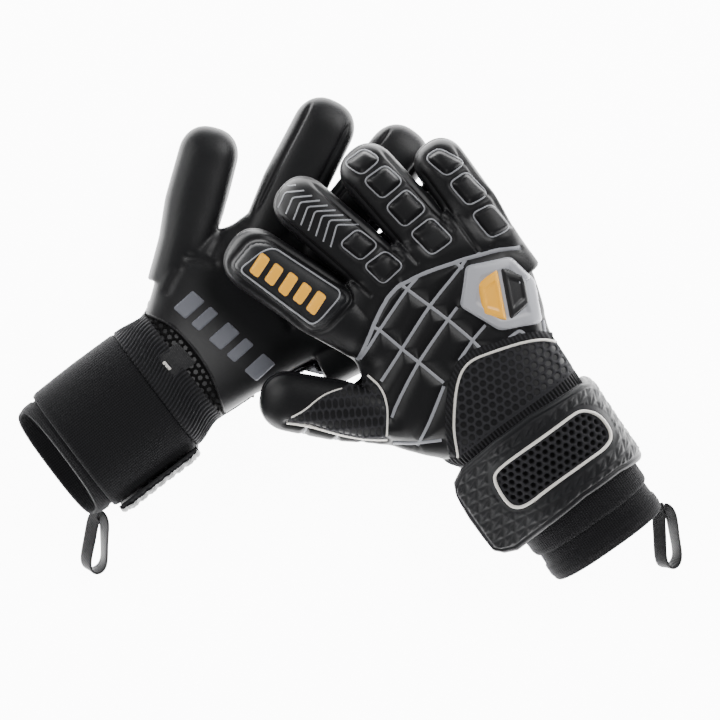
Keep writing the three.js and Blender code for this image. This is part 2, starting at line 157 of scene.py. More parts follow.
def loftRings(rings):
    count = rings.shape[1]
    points = rings.reshape(-1, 3)
    faces = []
    for s in range(len(rings) - 1):
        a = s * count
        faces += [(a + i, a + (i + 1) % count, a + count + (i + 1) % count,
                   a + count + i) for i in range(count)]
    faces.append(tuple(range(count))[::-1])
    last = (len(rings) - 1) * count
    faces.append(tuple(range(last, last + count)))
    return points, faces


def handSolid(glove):
    angles = np.linspace(0, 2 * np.pi, 72, endpoint=False)
    rings = []
    ends = [(118.5, 0.86), (121, 0.62), (122.5, 0.3)]
    for y, share in [(y, 1) for y in np.arange(-16, 117, 4.0)] + ends:
        left, right, low, high = handRow(glove, min(y, 116))
        centre, half = (left + right) / 2, (right - left) / 2 * (0.5 + 0.5 * share)
        middle, thick = (low + high) / 2, (high - low) / 2 * share
        ring = rim(half, middle - thick, middle + thick, angles, centre)
        rings.append(np.stack([ring[:, 0], np.full(len(ring), y), ring[:, 1]], 1))
    return loftRings(np.array(rings))


def fingerSolid(finger):
    root, along, across, length = fingerFrame(finger)
    angles = np.linspace(0, 2 * np.pi, 48, endpoint=False)
    dome = finger["width"] * 0.46
    stations = [(d, 1.0) for d in np.linspace(-26, length - dome, 22)]
    stations += [(length - dome + dome * math.sin(a), max(math.cos(a), 0.02) ** 0.8)
                 for a in np.linspace(0.15, 1.56, 12)]
    rings = []
    for distance, shrink in stations:
        low, high, half = fingerSection(finger, distance)
        middle, thick = (low + high) / 2, (high - low) / 2
        ring = rim(half * shrink, middle - thick * shrink, middle + thick * shrink, angles)
        plan = root + distance * along + ring[:, :1] * across
        rings.append(np.column_stack([plan, ring[:, 1]]))
    return loftRings(np.array(rings)[:, ::-1])


def meshFrom(name, points, faces):
    mesh = bpy.data.meshes.new(name)
    mesh.from_pydata(np.asarray(points, float).tolist(), [], [tuple(int(i) for i in f) for f in faces])
    mesh.update()
    return mesh


def readMesh(mesh):
    points = np.zeros(len(mesh.vertices) * 3)
    mesh.vertices.foreach_get("co", points)
    sizes = np.zeros(len(mesh.polygons), int)
    mesh.polygons.foreach_get("loop_total", sizes)
    loops = np.zeros(len(mesh.loops), int)
    mesh.loops.foreach_get("vertex_index", loops)
    assert (sizes == 4).all()
    return points.reshape(-1, 3), loops.reshape(-1, 4)


def vertexNormals(points, faces):
    faces = np.asarray(faces)
    a, b, c = points[faces[:, 0]], points[faces[:, 1]], points[faces[:, 2]]
    d = points[faces[:, 3]] if faces.shape[1] == 4 else a
    n = np.cross(c - a, d - b) if faces.shape[1] == 4 else np.cross(b - a, c - a)
    out = np.zeros_like(points)
    for k in range(faces.shape[1]):
        np.add.at(out, faces[:, k], n)
    return out / np.maximum(np.linalg.norm(out, axis=1, keepdims=True), 1e-12)


# Joined solids become one even skin, then are smoothed so that the webs run into the fingers.
def buildSkin(glove):
    parts = [handSolid(glove)] + [fingerSolid(f) for f in glove["fingers"].values()]
    points, faces = [], []
    for p, f in parts:
        base = sum(len(q) for q in points)
        points.append(p)
        faces += [tuple(i + base for i in face) for face in f]
    solid = bpy.data.objects.new("skinSource", meshFrom("skinSource", np.concatenate(points), faces))
    bpy.context.scene.collection.objects.link(solid)
    remesh = solid.modifiers.new("remesh", "REMESH")
    remesh.mode, remesh.voxel_size = "VOXEL", skin["voxel"] * 1
    smooth = solid.modifiers.new("smooth", "SMOOTH")
    smooth.factor, smooth.iterations = 0.5, skin["smoothing"]
    evaluated = solid.evaluated_get(bpy.context.evaluated_depsgraph_get())
    mesh = bpy.data.meshes.new_from_object(evaluated)
    result = readMesh(mesh)
    bpy.data.objects.remove(solid)
    bpy.data.meshes.remove(mesh)
    return result


for side, glove in gloves.items():
    glove["points"], glove["faces"] = buildSkin(glove)
    print("skin", side, len(glove["points"]), "points")


def ease(low, high, value):
    t = np.clip((np.asarray(value, float) - low) / (high - low), 0, 1)
    return t * t * (3 - 2 * t)


# Distance in plan from each point to the nearest of several polylines.
def lineDistance(points, lines):
    best = np.full(len(points), 1e9)
    for line in lines:
        line = np.asarray(line, float)
        for a, b in zip(line[:-1], line[1:]):
            ab = b - a
            t = np.clip(((points - a) @ ab) / max(ab @ ab, 1e-9), 0, 1)
            best = np.minimum(best, np.linalg.norm(points - (a + t[:, None] * ab), axis=1))
    return best


def insideOf(points, outline):
    inside = np.zeros(len(points), bool)
    x, y = points[:, 0], points[:, 1]
    for (x0, y0), (x1, y1) in zip(outline, np.roll(outline, -1, axis=0)):
        if y0 != y1:
            inside ^= ((y0 > y) != (y1 > y)) & (x < (x1 - x0) * (y - y0) / (y1 - y0) + x0)
    return inside


# Distance to an outline, above 0 inside it.
def depthIn(points, outline):
    closed = np.vstack([outline, outline[:1]])
    return np.where(insideOf(points, outline), 1, -1) * lineDistance(points, [closed])


def resample(line, step, closed=False):
    line = np.asarray(line, float)
    if closed:
        line = np.vstack([line, line[:1]])
    lengths = np.concatenate([[0], np.cumsum(np.linalg.norm(np.diff(line, axis=0), axis=1))])
    count = max(int(round(lengths[-1] / step)), 3)
    at = np.linspace(0, lengths[-1], count + 1)
    out = np.stack([np.interp(at, lengths, line[:, k]) for k in range(line.shape[1])], 1)
    return out[:-1] if closed else out


# A polyline with its corners cut again and again, so that it runs as one curve.
def soften(line, closed=False, rounds=3):
    line = np.asarray(line, float)
    for _ in range(rounds):
        if closed:
            after = np.roll(line, -1, axis=0)
            cut = np.stack([0.75 * line + 0.25 * after, 0.25 * line + 0.75 * after], 1)
            line = cut.reshape(-1, line.shape[1])
        else:
            a, b = line[:-1], line[1:]
            cut = np.stack([0.75 * a + 0.25 * b, 0.25 * a + 0.75 * b], 1).reshape(-1, line.shape[1])
            line = np.vstack([line[:1], cut[1:-1], line[-1:]])
    return line


def roundCorners(corners, radius):
    corners = np.asarray(corners, float)
    out = []
    for before, corner, after in zip(np.roll(corners, 1, axis=0), corners, np.roll(corners, -1, axis=0)):
        a, b = before - corner, after - corner
        reach = min(radius, 0.48 * np.linalg.norm(a), 0.48 * np.linalg.norm(b))
        p, q = corner + a / np.linalg.norm(a) * reach, corner + b / np.linalg.norm(b) * reach
        out += [(1 - t) ** 2 * p + 2 * t * (1 - t) * corner + t * t * q for t in np.linspace(0, 1, 6)]
    return np.array(out)


def onFinger(finger, spots):
    root, along, across, _ = fingerFrame(finger)
    spots = np.asarray(spots, float)
    return root + spots[:, :1] * along + spots[:, 1:] * across


# The moulded back of the hand: printed lines between domed foam panels.
knuckleLine = [(-58.1, 80.9), (-38.9, 93.2), (-25.2, 101.1), (-16.5, 103.3), (-9.8, 102.7), (3.2, 100.7),
               (15, 97),
               (23.6, 94.6), (32.6, 91.3), (44, 86.9), (54.8, 80.2)]
panelLines = [
    [(-56.6, 80.8), (-37.5, 89.1), (-12.2, 99.2), (-3.5, 101.3)],
    [(-54.2, 63.5), (-33.5, 72.7), (-7.1, 84.2), (19.4, 91.4), (25, 93.6)],
    [(-61.3, 43.4), (-49.6, 50.8), (-30.6, 61.2), (-3.6, 71.3), (5.5, 74.2)],
    [(-58.4, 21.4), (-44.7, 29.4), (-26.5, 41.6)],
    [(-11.1, 48.4), (1.9, 53.8), (12.9, 56.4)],
    [(19.7, 42.2), (27.8, 42.8), (28.3, 38.2)],
    [(41.9, 37.9), (38.8, 31.8)],
    [(-13.7, 104.4), (-12.2, 99.2), (-7.1, 84.2), (-3.1, 72), (1.9, 53.8), (2.7, 47.5)],
    [(-40.3, 92.6), (-38, 88.4), (-34.2, 73.2), (-30.6, 61.2), (-25.6, 43.1)],
    [(19.2, 95.6), (20.7, 90.4)],
    [(-69, 30), (-58.4, 23), (-45.2, 16.7)],
]
wristArch = [(-43, 3), (-41.6, 6), (-37.3, 16.5), (-30.2, 26.5), (-21.9, 36.3), (-13.7, 43), (-5.1, 45.2),
             (9.6, 41), (24.7, 36), (35.8, 29.7), (40.6, 23)]
thumbSeam = [(-112, 74.5), (-102.9, 66.8), (-91.6, 52.6), (-81.4, 41.9), (-70.4, 34.1)]
thumbCuts = [[(-102.9, 66.8), (-114, 58)], [(-91.6, 52.6), (-103, 42)], [(-81.4, 41.9), (-91, 31)]]
thumbEdge = [(-69.5, 36.8), (-62, 47), (-57.6, 54.3), (-56.4, 61.8), (-58.5, 70.7)]
thumbTop = [(-75.1, 72.8), (-82.5, 75.6), (-90, 76.3), (-99.7, 75), (-108, 76)]
badgeOutline = [(23, 91), (47.3, 80), (51, 60.5), (40.5, 37.9), (17.7, 49.3), (6.8, 74.1)]
# Raised pads on the fingers, as distances along and across from a finger's root.
fingerPads = {
    "middle": [[(33.2, -3), (30.8, 10.6), (15.6, 11.6), (17.8, -2.4)],
               [(15, -3.4), (11, 11.6), (-2.2, 12), (-0.4, -4.2)]],
    "ring": [[(69, -7.8), (67.8, 7), (57.6, 10), (57.8, -4.6)],
             [(55.4, -6), (53.8, 9.8), (39.8, 11.2), (40.4, -5)],
             [(36.2, -6.6), (36, 9.8), (19.8, 10.9), (20.4, -6.2)],
             [(16.2, -6), (15, 9.6), (-2.8, 10.6), (-1, -5.2)]],
    "pinky": [[(60.7, -6), (60.8, 4.2), (45.2, 12), (45.4, -2)],
              [(41.8, -3.2), (41.4, 9.4), (23.4, 12), (25.2, -1.8)],
              [(20.8, -3), (18.6, 10.2), (0.8, 11.4), (3, -2.2)]],
}
patchCorners = [(77.6, -10), (76, 8.2), (67.6, 13.4), (16, 13.8), (13.2, 11.4), (16.6, -8), (20, -12.6)]
creases = {"left": [[(-49.7, 47.2), (-44, 52), (-37.5, 56.8)], [(-47, 38), (-44, 31), (-41, 25.5)],
                    [(-52, 72), (-46, 66), (-43, 60)], [(-20, 92), (4, 97), (30, 96)],
                    [(-34, 84), (-8, 74), (18, 70)]],
           "right": [[(-49.7, 47.2), (-44, 52), (-37.5, 56.8)], [(-20, 92), (4, 97), (30, 96)]]}


def waves(points, size, seed):
    rng = np.random.default_rng(seed)
    total = np.zeros(len(points))
    for k in range(6):
        direction = rng.normal(size=3)
        direction /= np.linalg.norm(direction)
        total += np.sin(points @ direction * 2 * np.pi / (size * (0.7 + 0.15 * k)) + rng.uniform(0, 6.28)) / 6
    return total


# Which finger each plan point belongs to, -1 for the hand.
def regionOf(glove, plan):
    region, best = np.full(len(plan), -1), np.full(len(plan), 1e9)
    for k, name in enumerate(fingerNames):
        finger = glove["fingers"][name]
        root, along, across, length = fingerFrame(finger)
        d, c = (plan - root) @ along, np.abs((plan - root) @ across)
        reach = finger["width"] / 2 + (9 if name == "thumb" else 3.5)
        share = c / reach
        mine = (d > 0) & (c < reach) & (d < length + 12) & (share < best)
        region[mine], best[mine] = k, share[mine]
    return region


# Height of the side seam between back and palm.
def seamHeight(glove, points, region):
    rows = np.array(glove["hand"], float)
    under, over = [np.interp(points[:, 1], rows[:, 0], rows[:, k]) for k in (3, 4)]
    middle = (under + over) / 2
    for k, name in enumerate(fingerNames):
        finger = glove["fingers"][name]
        root, along, _, length = fingerFrame(finger)
        t = np.clip(((points[:, :2] - root) @ along) / length, 0, 1)
        own = (finger["low"] + finger["high"][0]) / 2 - finger.get("drop", 0) * t ** 1.3
        mine = region == k
        middle[mine] = own[mine] + (middle[mine] - own[mine]) * (1 - ease(0, 0.3, t[mine]))
    return middle


def shapeSkin(glove):
    points, faces, face = glove["points"], glove["faces"], glove["face"]
    normals = vertexNormals(points, faces)
    plan = points[:, :2]
    region = regionOf(glove, plan)
    toBack = face * normals[:, 2]
    back, palm = ease(0.1, 0.55, toBack), ease(0.1, 0.55, -toBack)
    lines = panelLines + [knuckleLine]
    near = lineDistance(plan, lines)
    arch = np.array(wristArch)
    archY = np.interp(plan[:, 0], arch[:, 0], arch[:, 1], left=0, right=12)
    onHand = ease(2, 8, plan[:, 1] - archY) * (1 - ease(0, 16, plan[:, 1] - 112))
    lift = back * onHand * (2.7 * (1 - np.exp(-(near / 3.6) ** 1.3)) - 1.1)
    seam = [np.array(thumbSeam)] + [np.array(c) for c in thumbCuts]
    if glove["side"] == "right":
        lift += -1.6 * back * np.exp(-(lineDistance(plan, seam) / 1.8) ** 2)
    for k, name in enumerate(fingerNames):
        finger = glove["fingers"][name]
        root, along, across, length = fingerFrame(finger)
        d, c = (plan - root) @ along, (plan - root) @ across
        mine = region == k
        if name == "index":
            inPatch = depthIn(plan, roundCorners(onFinger(finger, patchCorners), 4.5))
            lift -= back * 1.5 * np.exp(-((inPatch + 2.6) / 1.2) ** 2)
        elif name != "thumb":
            roll = np.exp(-((np.abs(c) - finger["width"] / 2 + 3.6) / 1.1) ** 2)
            roll = roll * ease(-6, 4, d) * (1 - ease(length - 16, length - 6, d))
            lift -= np.where(mine, back * 1.3 * roll, 0)
        for corners in fingerPads.get(name, []):
            outline = roundCorners(onFinger(finger, corners), 3.6)
            depth = depthIn(plan, outline)
            lift += back * np.where(depth > 0, 2.2 * (1 - np.exp(-(np.maximum(depth, 0) / 1.9) ** 1.5)), 0)
            lift -= back * 0.9 * np.exp(-(depth / 1.7) ** 2)
        if name != "thumb":
            edge = finger["width"] / 2 * 0.66
            rolled = mine & (d > 4)
            groove = np.exp(-((np.abs(c) - edge) / 1.1) ** 2)
            groove = groove * ease(4, 12, d) * (1 - ease(length - 14, length - 5, d))
            lift -= np.where(rolled, palm * 1.3 * groove, 0)
    middle = seamHeight(glove, points, region)
    side = 1 - ease(0.35, 0.75, np.abs(normals[:, 2]))
    lift -= 0.9 * side * np.exp(-((points[:, 2] - middle) / 0.9) ** 2)
    for line in creases[glove["side"]]:
        lift -= palm * 1.1 * np.exp(-(lineDistance(plan, [soften(line)]) / 2.6) ** 2)
    lift += 0.35 * waves(points, 46, 3) * (0.4 + palm)
    if glove["side"] == "left":
        edgeX = np.array([-45, -36.2, -23, -4, 14.7, 30.8, 42])
        edgeY = np.array([5, 8.3, 15.9, 17.9, 16.3, 10.6, 6])
        lift += palm * (1.5 * ease(-0.5, 0.8, plan[:, 1] - np.interp(plan[:, 0], edgeX, edgeY)) - 1.5)
    limit = np.where(toBack < 0, 0.4, 3)
    glove["points"] = points + normals * np.minimum(lift, limit)[:, None]
    glove["normals"] = vertexNormals(glove["points"], faces)
    centres = glove["points"][faces].mean(1)
    glove["faceRegion"] = regionOf(glove, centres[:, :2])
    glove["faceBack"] = (centres[:, 2] - seamHeight(glove, centres, glove["faceRegion"])) * face > 0
    glove["tree"] = BVHTree.FromPolygons([Vector(p) for p in glove["points"]], faces.tolist())


for side, glove in gloves.items():
    shapeSkin(glove)
    print("shape", side)


# Where the skin is, straight below a plan point as seen from one side (1 from above, -1 from below).
def onSkin(glove, plan, way):
    places, normals, glove["missed"] = [], [], []
    for x, y in plan:
        hit, _, index, _ = glove["tree"].ray_cast(Vector((x, y, 150.0 * way)), Vector((0, 0, -way)))
        glove["missed"].append(hit is None)
        if hit is None:
            near = glove["tree"].find_nearest(Vector((x, y, 20)))
            hit, index = near[0], near[2]
        places.append(hit)
        normals.append(glove["normals"][glove["faces"][index]].mean(0))
    normals = np.array(normals)
    return np.array(places), normals / np.linalg.norm(normals, axis=1, keepdims=True)


def finishPiece(name, glove, points, faces, material, slotName, texture=None, normals=None, body=None,
                fold=None,
                sunk=None):
    row = toRow(glove, points)
    row[:, 2] = np.maximum(row[:, 2], 0.00002)
    mesh = meshFrom(name, row, faces)
    for polygon in mesh.polygons:
        polygon.use_smooth = True
    local = np.asarray(points if texture is None else texture, np.float32)
    layer = mesh.attributes.new("local", "FLOAT_VECTOR", "POINT")
    layer.data.foreach_set("vector", local.reshape(-1))
    # Painted shade: a mask from 0 deep in the holes to 1 on top, by which the spacer mesh's colour is
    # darkened in its holes.
    if sunk is not None:
        layer = mesh.attributes.new("sunk", "FLOAT", "POINT")
        layer.data.foreach_set("value", np.asarray(sunk, np.float32))
    if normals is not None:
        mesh.normals_split_custom_set_from_vertices((normals @ glove["matrix"].T).tolist())
    mesh.materials.append(materials[material])
    obj = bpy.data.objects.new(name, mesh)
    bpy.context.scene.collection.objects.link(obj)
    if fold:
        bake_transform(obj)
    else:
        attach(obj, glove["side"] + "_" + (body or "hand"))
    return obj


def cutOut(points, faces, keep):
    chosen = faces[keep]
    used, index = np.unique(chosen, return_inverse=True)
    return points[used], index.reshape(chosen.shape), used


# A strip of even width that lies on the skin along a plan line, with a rounded top.
def ribbonOn(glove, line, width, height, way, closed=False, step=1.1, roundTop=False, lift=0.0):
    plan = resample(line, step, closed)
    places, normals = onSkin(glove, plan, way)
    if not closed:
        found = np.flatnonzero(~np.array(glove["missed"]))
        if len(found) < 4:
            return np.zeros((0, 3)), []
        places, normals = places[found[0]:found[-1] + 1], normals[found[0]:found[-1] + 1]
    places = places + normals * lift
    for _ in range(2):
        blend = (np.roll(places, 1, axis=0) + places * 2 + np.roll(places, -1, axis=0)) / 4
        turned = (np.roll(normals, 1, axis=0) + normals * 2 + np.roll(normals, -1, axis=0)) / 4
        if not closed:
            blend[[0, -1]], turned[[0, -1]] = places[[0, -1]], normals[[0, -1]]
        places, normals = blend, turned
    ahead = np.roll(places, -1, axis=0) - np.roll(places, 1, axis=0)
    if not closed:
        ahead[0], ahead[-1] = places[1] - places[0], places[-1] - places[-2]
    across = np.cross(normals, ahead)
    across /= np.maximum(np.linalg.norm(across, axis=1, keepdims=True), 1e-9)
    if roundTop:
        angles = np.linspace(0, 2 * np.pi, 10, endpoint=False)
        section = [(math.cos(a), 0.35 + math.sin(a)) for a in angles]
        loop = True
    else:
        section = [(-1, -1.2), (-0.96, 0.25), (-0.7, 0.75), (0, 1), (0.7, 0.75), (0.96, 0.25), (1, -1.2)]
        loop = False
    rings = np.stack([places + across * (width / 2 * a) + normals * (height * b) for a, b in section], 1)
    count, size = len(rings), len(section)
    faces = []
    for i in range(count if closed else count - 1):
        k = (i + 1) % count
        for j in range(size if loop else size - 1):
            m = (j + 1) % size
            faces.append((i * size + j, i * size + m, k * size + m, k * size + j))
    if not closed:
        faces.append(tuple(range(size)))
        faces.append(tuple(range((count - 1) * size, count * size))[::-1])
    return rings.reshape(-1, 3), faces


def joined(parts):
    points, faces, base = [], [], 0
    for p, f in parts:
        points.append(np.asarray(p))
        faces += [tuple(int(i) + base for i in face) for face in f]
        base += len(p)
    return np.concatenate(points), faces


# Plan triangles inside an outline, with a fine grid of points inside it.
def fillOutline(outline, spacing):
    border = resample(outline, spacing, True)
    low, high = border.min(0), border.max(0)
    xs, ys = np.arange(low[0], high[0], spacing), np.arange(low[1], high[1], spacing * 0.87)
    grid = np.array([(x + (k % 2) * spacing / 2, y) for k, y in enumerate(ys) for x in xs])
    grid = grid[depthIn(grid, border) > 0.45 * spacing]
    points = np.vstack([border, grid])
    count = len(border)
    edges = [(i, (i + 1) % count) for i in range(count)]
    out = delaunay_2d_cdt([Vector(p) for p in points], edges, [], 1, 1e-6)
    return np.array([tuple(v) for v in out[0]]), [tuple(f) for f in out[2]], count


# A raised sheet on the skin: height(plan, depth) gives its top, and a skirt goes down into the skin.
def patchOn(glove, outline, spacing, way, height, skirt=0.8):
    plan, triangles, count = fillOutline(np.asarray(outline, float), spacing)
    places, normals = onSkin(glove, plan, way)
    tops = height(plan, np.maximum(depthIn(plan, resample(outline, spacing, True)), 0))
    points = places + normals * tops[:, None]
    turned = [t if way > 0 else t[::-1] for t in triangles]
    skirtPoints = places[:count] - normals[:count] * skirt
    # How high each point stands, from 0 at the lowest to 1 at the top; the spacer mesh paints shade into its
    # holes by it.
    glove["sunk"] = np.concatenate([(tops - tops.min()) / max(np.ptp(tops), 0.01), np.zeros(count)])
    base = len(points)
    sides = [(i, (i + 1) % count, base + (i + 1) % count, base + i) for i in range(count)]
    sides = [s[::-1] if way > 0 else s for s in sides]
    return np.vstack([points, skirtPoints]), turned + sides


# Round holes of an open spacer mesh, in staggered rows.
def holes(plan, pitch, radius, stretch=1.0, turn=0.0, depth=1.3):
    c, s = math.cos(turn), math.sin(turn)
    u, v = plan[:, 0] * c + plan[:, 1] * s, (plan[:, 1] * c - plan[:, 0] * s) / stretch
    row = pitch * 0.866
    best = np.full(len(plan), 1e9)
    for k in (0, 1):
        rowAt = np.round((v / row - k) / 2) * 2 + k
        du = u - (np.round((u / pitch) - 0.5 * k) + 0.5 * k) * pitch
        best = np.minimum(best, np.hypot(du, v - rowAt * row))
    return -depth * (1 - ease(radius * 0.72, radius * 1.12, best))


# A node group with named inputs and one mask out; "build" fills it in.
def surfaceGroup(name, inputs, build):
    group = bpy.data.node_groups.new(name, "ShaderNodeTree")
    group.interface.new_socket("Place", in_out="INPUT", socket_type="NodeSocketVector")
    for label, value in inputs.items():
        socket = group.interface.new_socket(label, in_out="INPUT", socket_type="NodeSocketFloat")
        socket.default_value = value
    group.interface.new_socket("Mask", in_out="OUTPUT", socket_type="NodeSocketFloat")
    given = group.nodes.new("NodeGroupInput")
    result = group.nodes.new("NodeGroupOutput")
    group.links.new(build(group, given.outputs), result.inputs["Mask"])
    return group


# Fine random grain, of a size in millimetres.
def grainNodes(group, given):
    scale = group.nodes.new("ShaderNodeMath")
    scale.operation = "DIVIDE"
    scale.inputs[0].default_value = 1
    group.links.new(given["Size"], scale.inputs[1])
    noise = group.nodes.new("ShaderNodeTexNoise")
    group.links.new(given["Place"], noise.inputs["Vector"])
    group.links.new(scale.outputs[0], noise.inputs["Scale"])
    group.links.new(given["Detail"], noise.inputs["Detail"])
    return noise.outputs["Fac"]


# Rows of ribs one way and of loops the other way; "Stitch" bends the loops into a knit's small arches. The
# mask is the weave's height: it drives the bump, and in the colour it paints shade low down and light on the
# tops.
def weaveNodes(group, given):
    def calculate(operation, a, b=None):
        node = group.nodes.new("ShaderNodeMath")
        node.operation = operation
        for socket, value in zip(node.inputs, (a, b)):
            if isinstance(value, (int, float)):
                socket.default_value = value
            elif value is not None:
                group.links.new(value, socket)
        return node.outputs[0]

    split = group.nodes.new("ShaderNodeSeparateXYZ")
    group.links.new(given["Place"], split.inputs[0])
    u = calculate("DIVIDE", calculate("MULTIPLY", split.outputs[0], 2 * math.pi), given["Across"])
    v = calculate("DIVIDE", calculate("MULTIPLY", split.outputs[1], 2 * math.pi), given["Along"])
    arches = calculate("ABSOLUTE", calculate("SINE", calculate("MULTIPLY", u, 0.5)))
    v = calculate("ADD", v, calculate("MULTIPLY", arches, given["Stitch"]))
    rib = calculate("MULTIPLY", calculate("ADD", calculate("SINE", u), 1), given["Ribs"])
    loop = calculate("ADD", calculate("SINE", v), 1)
    loop = calculate("MULTIPLY", loop, calculate("SUBTRACT", 1, given["Ribs"]))
    return calculate("MULTIPLY", calculate("ADD", rib, loop), 0.5)


surfaceGroups = {
    "grain": surfaceGroup("grain", {"Size": 0.6, "Detail": 3}, grainNodes),
    "weave": surfaceGroup("weave", {"Across": 1, "Along": 1, "Stitch": 0, "Ribs": 0.5}, weaveNodes),
}


# A finish, in the piece's own millimetres: "grain" is (size, height), "weave" holds the weave group's values.
def makeMaterial(name, color, roughness, grain, weave=None, specular=0.5, tone=None):
    material = bpy.data.materials.new(name)
    material.use_nodes = True
    nodes, links = material.node_tree.nodes, material.node_tree.links
    shader = next(n for n in nodes if n.type == "BSDF_PRINCIPLED")
    shader.inputs["Base Color"].default_value = (*color, 1)
    shader.inputs["Roughness"].default_value = roughness
    shader.inputs["Specular IOR Level"].default_value = specular
    place = nodes.new("ShaderNodeAttribute")
    place.attribute_name = "local"

    def placed(groupName, values):
        node = nodes.new("ShaderNodeGroup")
        node.node_tree = surfaceGroups[groupName]
        links.new(place.outputs["Vector"], node.inputs["Place"])
        for label, value in values.items():
            node.inputs[label].default_value = value
        return node.outputs["Mask"]

    def bump(height, distance, before=None):
        node = nodes.new("ShaderNodeBump")
        node.inputs["Distance"].default_value = distance / 1000
        node.inputs["Strength"].default_value = 1
        links.new(height, node.inputs["Height"])
        if before:
            links.new(before, node.inputs["Normal"])
        return node.outputs["Normal"]

    normal = bump(placed("grain", {"Size": grain[0]}), grain[1])
    shade = None
    # Painted shade: the spacer mesh's colour is darkened deep in its holes by the stored mask.
    if weave == "sunk":
        deep = nodes.new("ShaderNodeAttribute")
        deep.attribute_name = "sunk"
        shade = deep.outputs["Fac"]
    elif weave:
        shade = placed("weave", {k: v for k, v in weave.items() if k != "height"})
        normal = bump(shade, weave["height"], normal)
    links.new(normal, shader.inputs["Normal"])
    # The colour is mixed between a darker and a lighter copy. By a coarse grain it is tone that differs at
    # random. By a weave's height it is painted shade between the loops and painted light on their tops. By
    # the spacer mesh's mask it is painted shade in the holes.
    if tone:
        mix = nodes.new("ShaderNodeMix")
        mix.data_type = "RGBA"
        mix.inputs[6].default_value = (*[c * tone[0] for c in color], 1)
        mix.inputs[7].default_value = (*[min(c * tone[1], 1) for c in color], 1)
        links.new(shade or placed("grain", {"Size": 9, "Detail": 4}), mix.inputs[0])
        links.new(mix.outputs[2], shader.inputs["Base Color"])
    return material


# Colour, roughness, grain, weave, specular level, and how far the colour goes down and up over the surface:
# at random by a coarse grain, as painted shade low down and painted light on the tops by a weave's height,
# and as painted shade deep in a spacer mesh's holes.
finishes = {
    "palmLatex": ((0.005, 0.005, 0.0058), 0.46, (0.45, 0.03), None, 0.3, (0.8, 1.3)),
    "backFoam": ((0.0045, 0.0045, 0.0052), 0.45, (0.5, 0.035), None, 0.28, (0.8, 1.3)),
    "strapLatex": ((0.007, 0.0073, 0.0085), 0.48, (0.6, 0.04), None, 0.3, (0.8, 1.3)),
    # The knits, the webbing and the label take their colour from the weave's height: painted shade between
    # the loops and ribs, painted light on their tops.
    "bandKnit": ((0.006, 0.006, 0.0067), 0.9, (0.5, 0.05),
                 {"Across": 1.5, "Along": 1.25, "Stitch": 2.6, "height": 0.3}, 0.2, (0.3, 2.4)),
    "ribKnit": ((0.008, 0.008, 0.009), 0.8, (0.5, 0.05),
                {"Across": 2.3, "Along": 0.9, "Ribs": 0.8, "height": 0.35}, 0.2, (0.3, 2.2)),
    # The spacer mesh: 0.02 times the colour deep in its holes, a painted shade, up to 2.6 times on its
    # threads.
    "spacerMesh": ((0.009, 0.009, 0.010), 0.85, (0.35, 0.05), "sunk", 0.16, (0.02, 2.6)),
    "fuzz": ((0.012, 0.012, 0.013), 1.0, (0.3, 0.5), None, 0.1),
    "cord": ((0.74, 0.71, 0.66), 0.75, (0.3, 0.05), {"Across": 0.7, "Along": 0.7, "height": 0.1}),
    "printGrey": ((0.25, 0.255, 0.28), 0.5, (0.5, 0.02)),
    "printDull": ((0.125, 0.13, 0.15), 0.55, (0.5, 0.02), None, 0.3),
    "printThin": ((0.25, 0.255, 0.275), 0.5, (0.5, 0.02)),
    "paleRubber": ((0.37, 0.375, 0.405), 0.42, (0.7, 0.02)),
    "goldRubber": ((1.0, 0.47, 0.03), 0.4, (0.7, 0.02)),
    "darkRubber": ((0.006, 0.006, 0.007), 0.4, (0.7, 0.02)),
    "webbing": ((0.007, 0.007, 0.008), 0.55, (0.4, 0.05),
                {"Across": 0.9, "Along": 1.1, "height": 0.25}, 0.25, (0.6, 1.6)),
    "labelKnit": ((0.009, 0.009, 0.010), 0.8, (0.4, 0.05),
                  {"Across": 0.6, "Along": 1.0, "height": 0.2}, 0.5, (0.5, 1.7)),
}
materials = {name: makeMaterial(name, *values) for name, values in finishes.items()}
print("materials", len(materials))


def skinPieces(glove):
    side = glove["side"]
    points, faces, region = glove["points"], glove["faces"], glove["faceRegion"]
    centres = points[faces].mean(1)
    capped = centres[:, 1] < -15.2
    for k, name in enumerate(["hand"] + fingerNames):
        for layer in ("back", "palm"):
            keep = (region == k - 1) & (glove["faceBack"] == (layer == "back")) & ~capped
            part, cut, used = cutOut(points, faces, keep)
            obj = finishPiece(f"{side}_{name}_{layer}_skin", glove, part, cut,
                              "backFoam" if layer == "back" else "palmLatex",
                              "latex_foam" if layer == "back" else "latex_palm", None, glove["normals"][used],
                              fold=None if name == "hand" else name)
            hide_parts(f"{side}_{name}_{layer}")


def greyLines(glove):
    side, face = glove["side"], glove["face"]
    parts = [ribbonOn(glove, soften(line), 2.3, 0.5, face) for line in panelLines[:-1]]
    parts += [ribbonOn(glove, soften(knuckleLine), 3.2, 0.6, face),
              ribbonOn(glove, panelLines[-1], 2.4, 0.5, face)]
    finishPiece(f"{side}_hand_lines", glove, *joined(parts), "printGrey", "silicone")
    for name in ("middle", "ring", "pinky"):
        finger = glove["fingers"][name]
        parts = [ribbonOn(glove, roundCorners(onFinger(finger, corners), 3.6), 1.1, 0.28, face, closed=True,
                          step=0.9)
                 for corners in fingerPads[name]]
        if name == "middle":
            for k in range(9):
                d = 35.6 + 5.1 * k
                left, top, right = onFinger(finger,
                                            [(d, -7.4 - 0.4 * k), (d + 5.6 - 0.4 * k, 4.6 - 0.8 * k),
                                             (d - 4.2, 12.6 - 0.8 * k)])
                bend = np.vstack([resample([left, top], 1.2), resample([top, right], 1.2)[1:]])
                parts.append(ribbonOn(glove, bend, 1.0, 0.3, face, step=1.0))
        finishPiece(f"{side}_{name}_lines", glove, *joined(parts), "printThin", "silicone", fold=name)


patchBars = {"starts": (24, 33.5, 43, 52.5, 62), "length": 6.2, "half": 7.0, "shorter": 0.6,
             "shifts": (0.8, 1.3), "inner": 0.75}


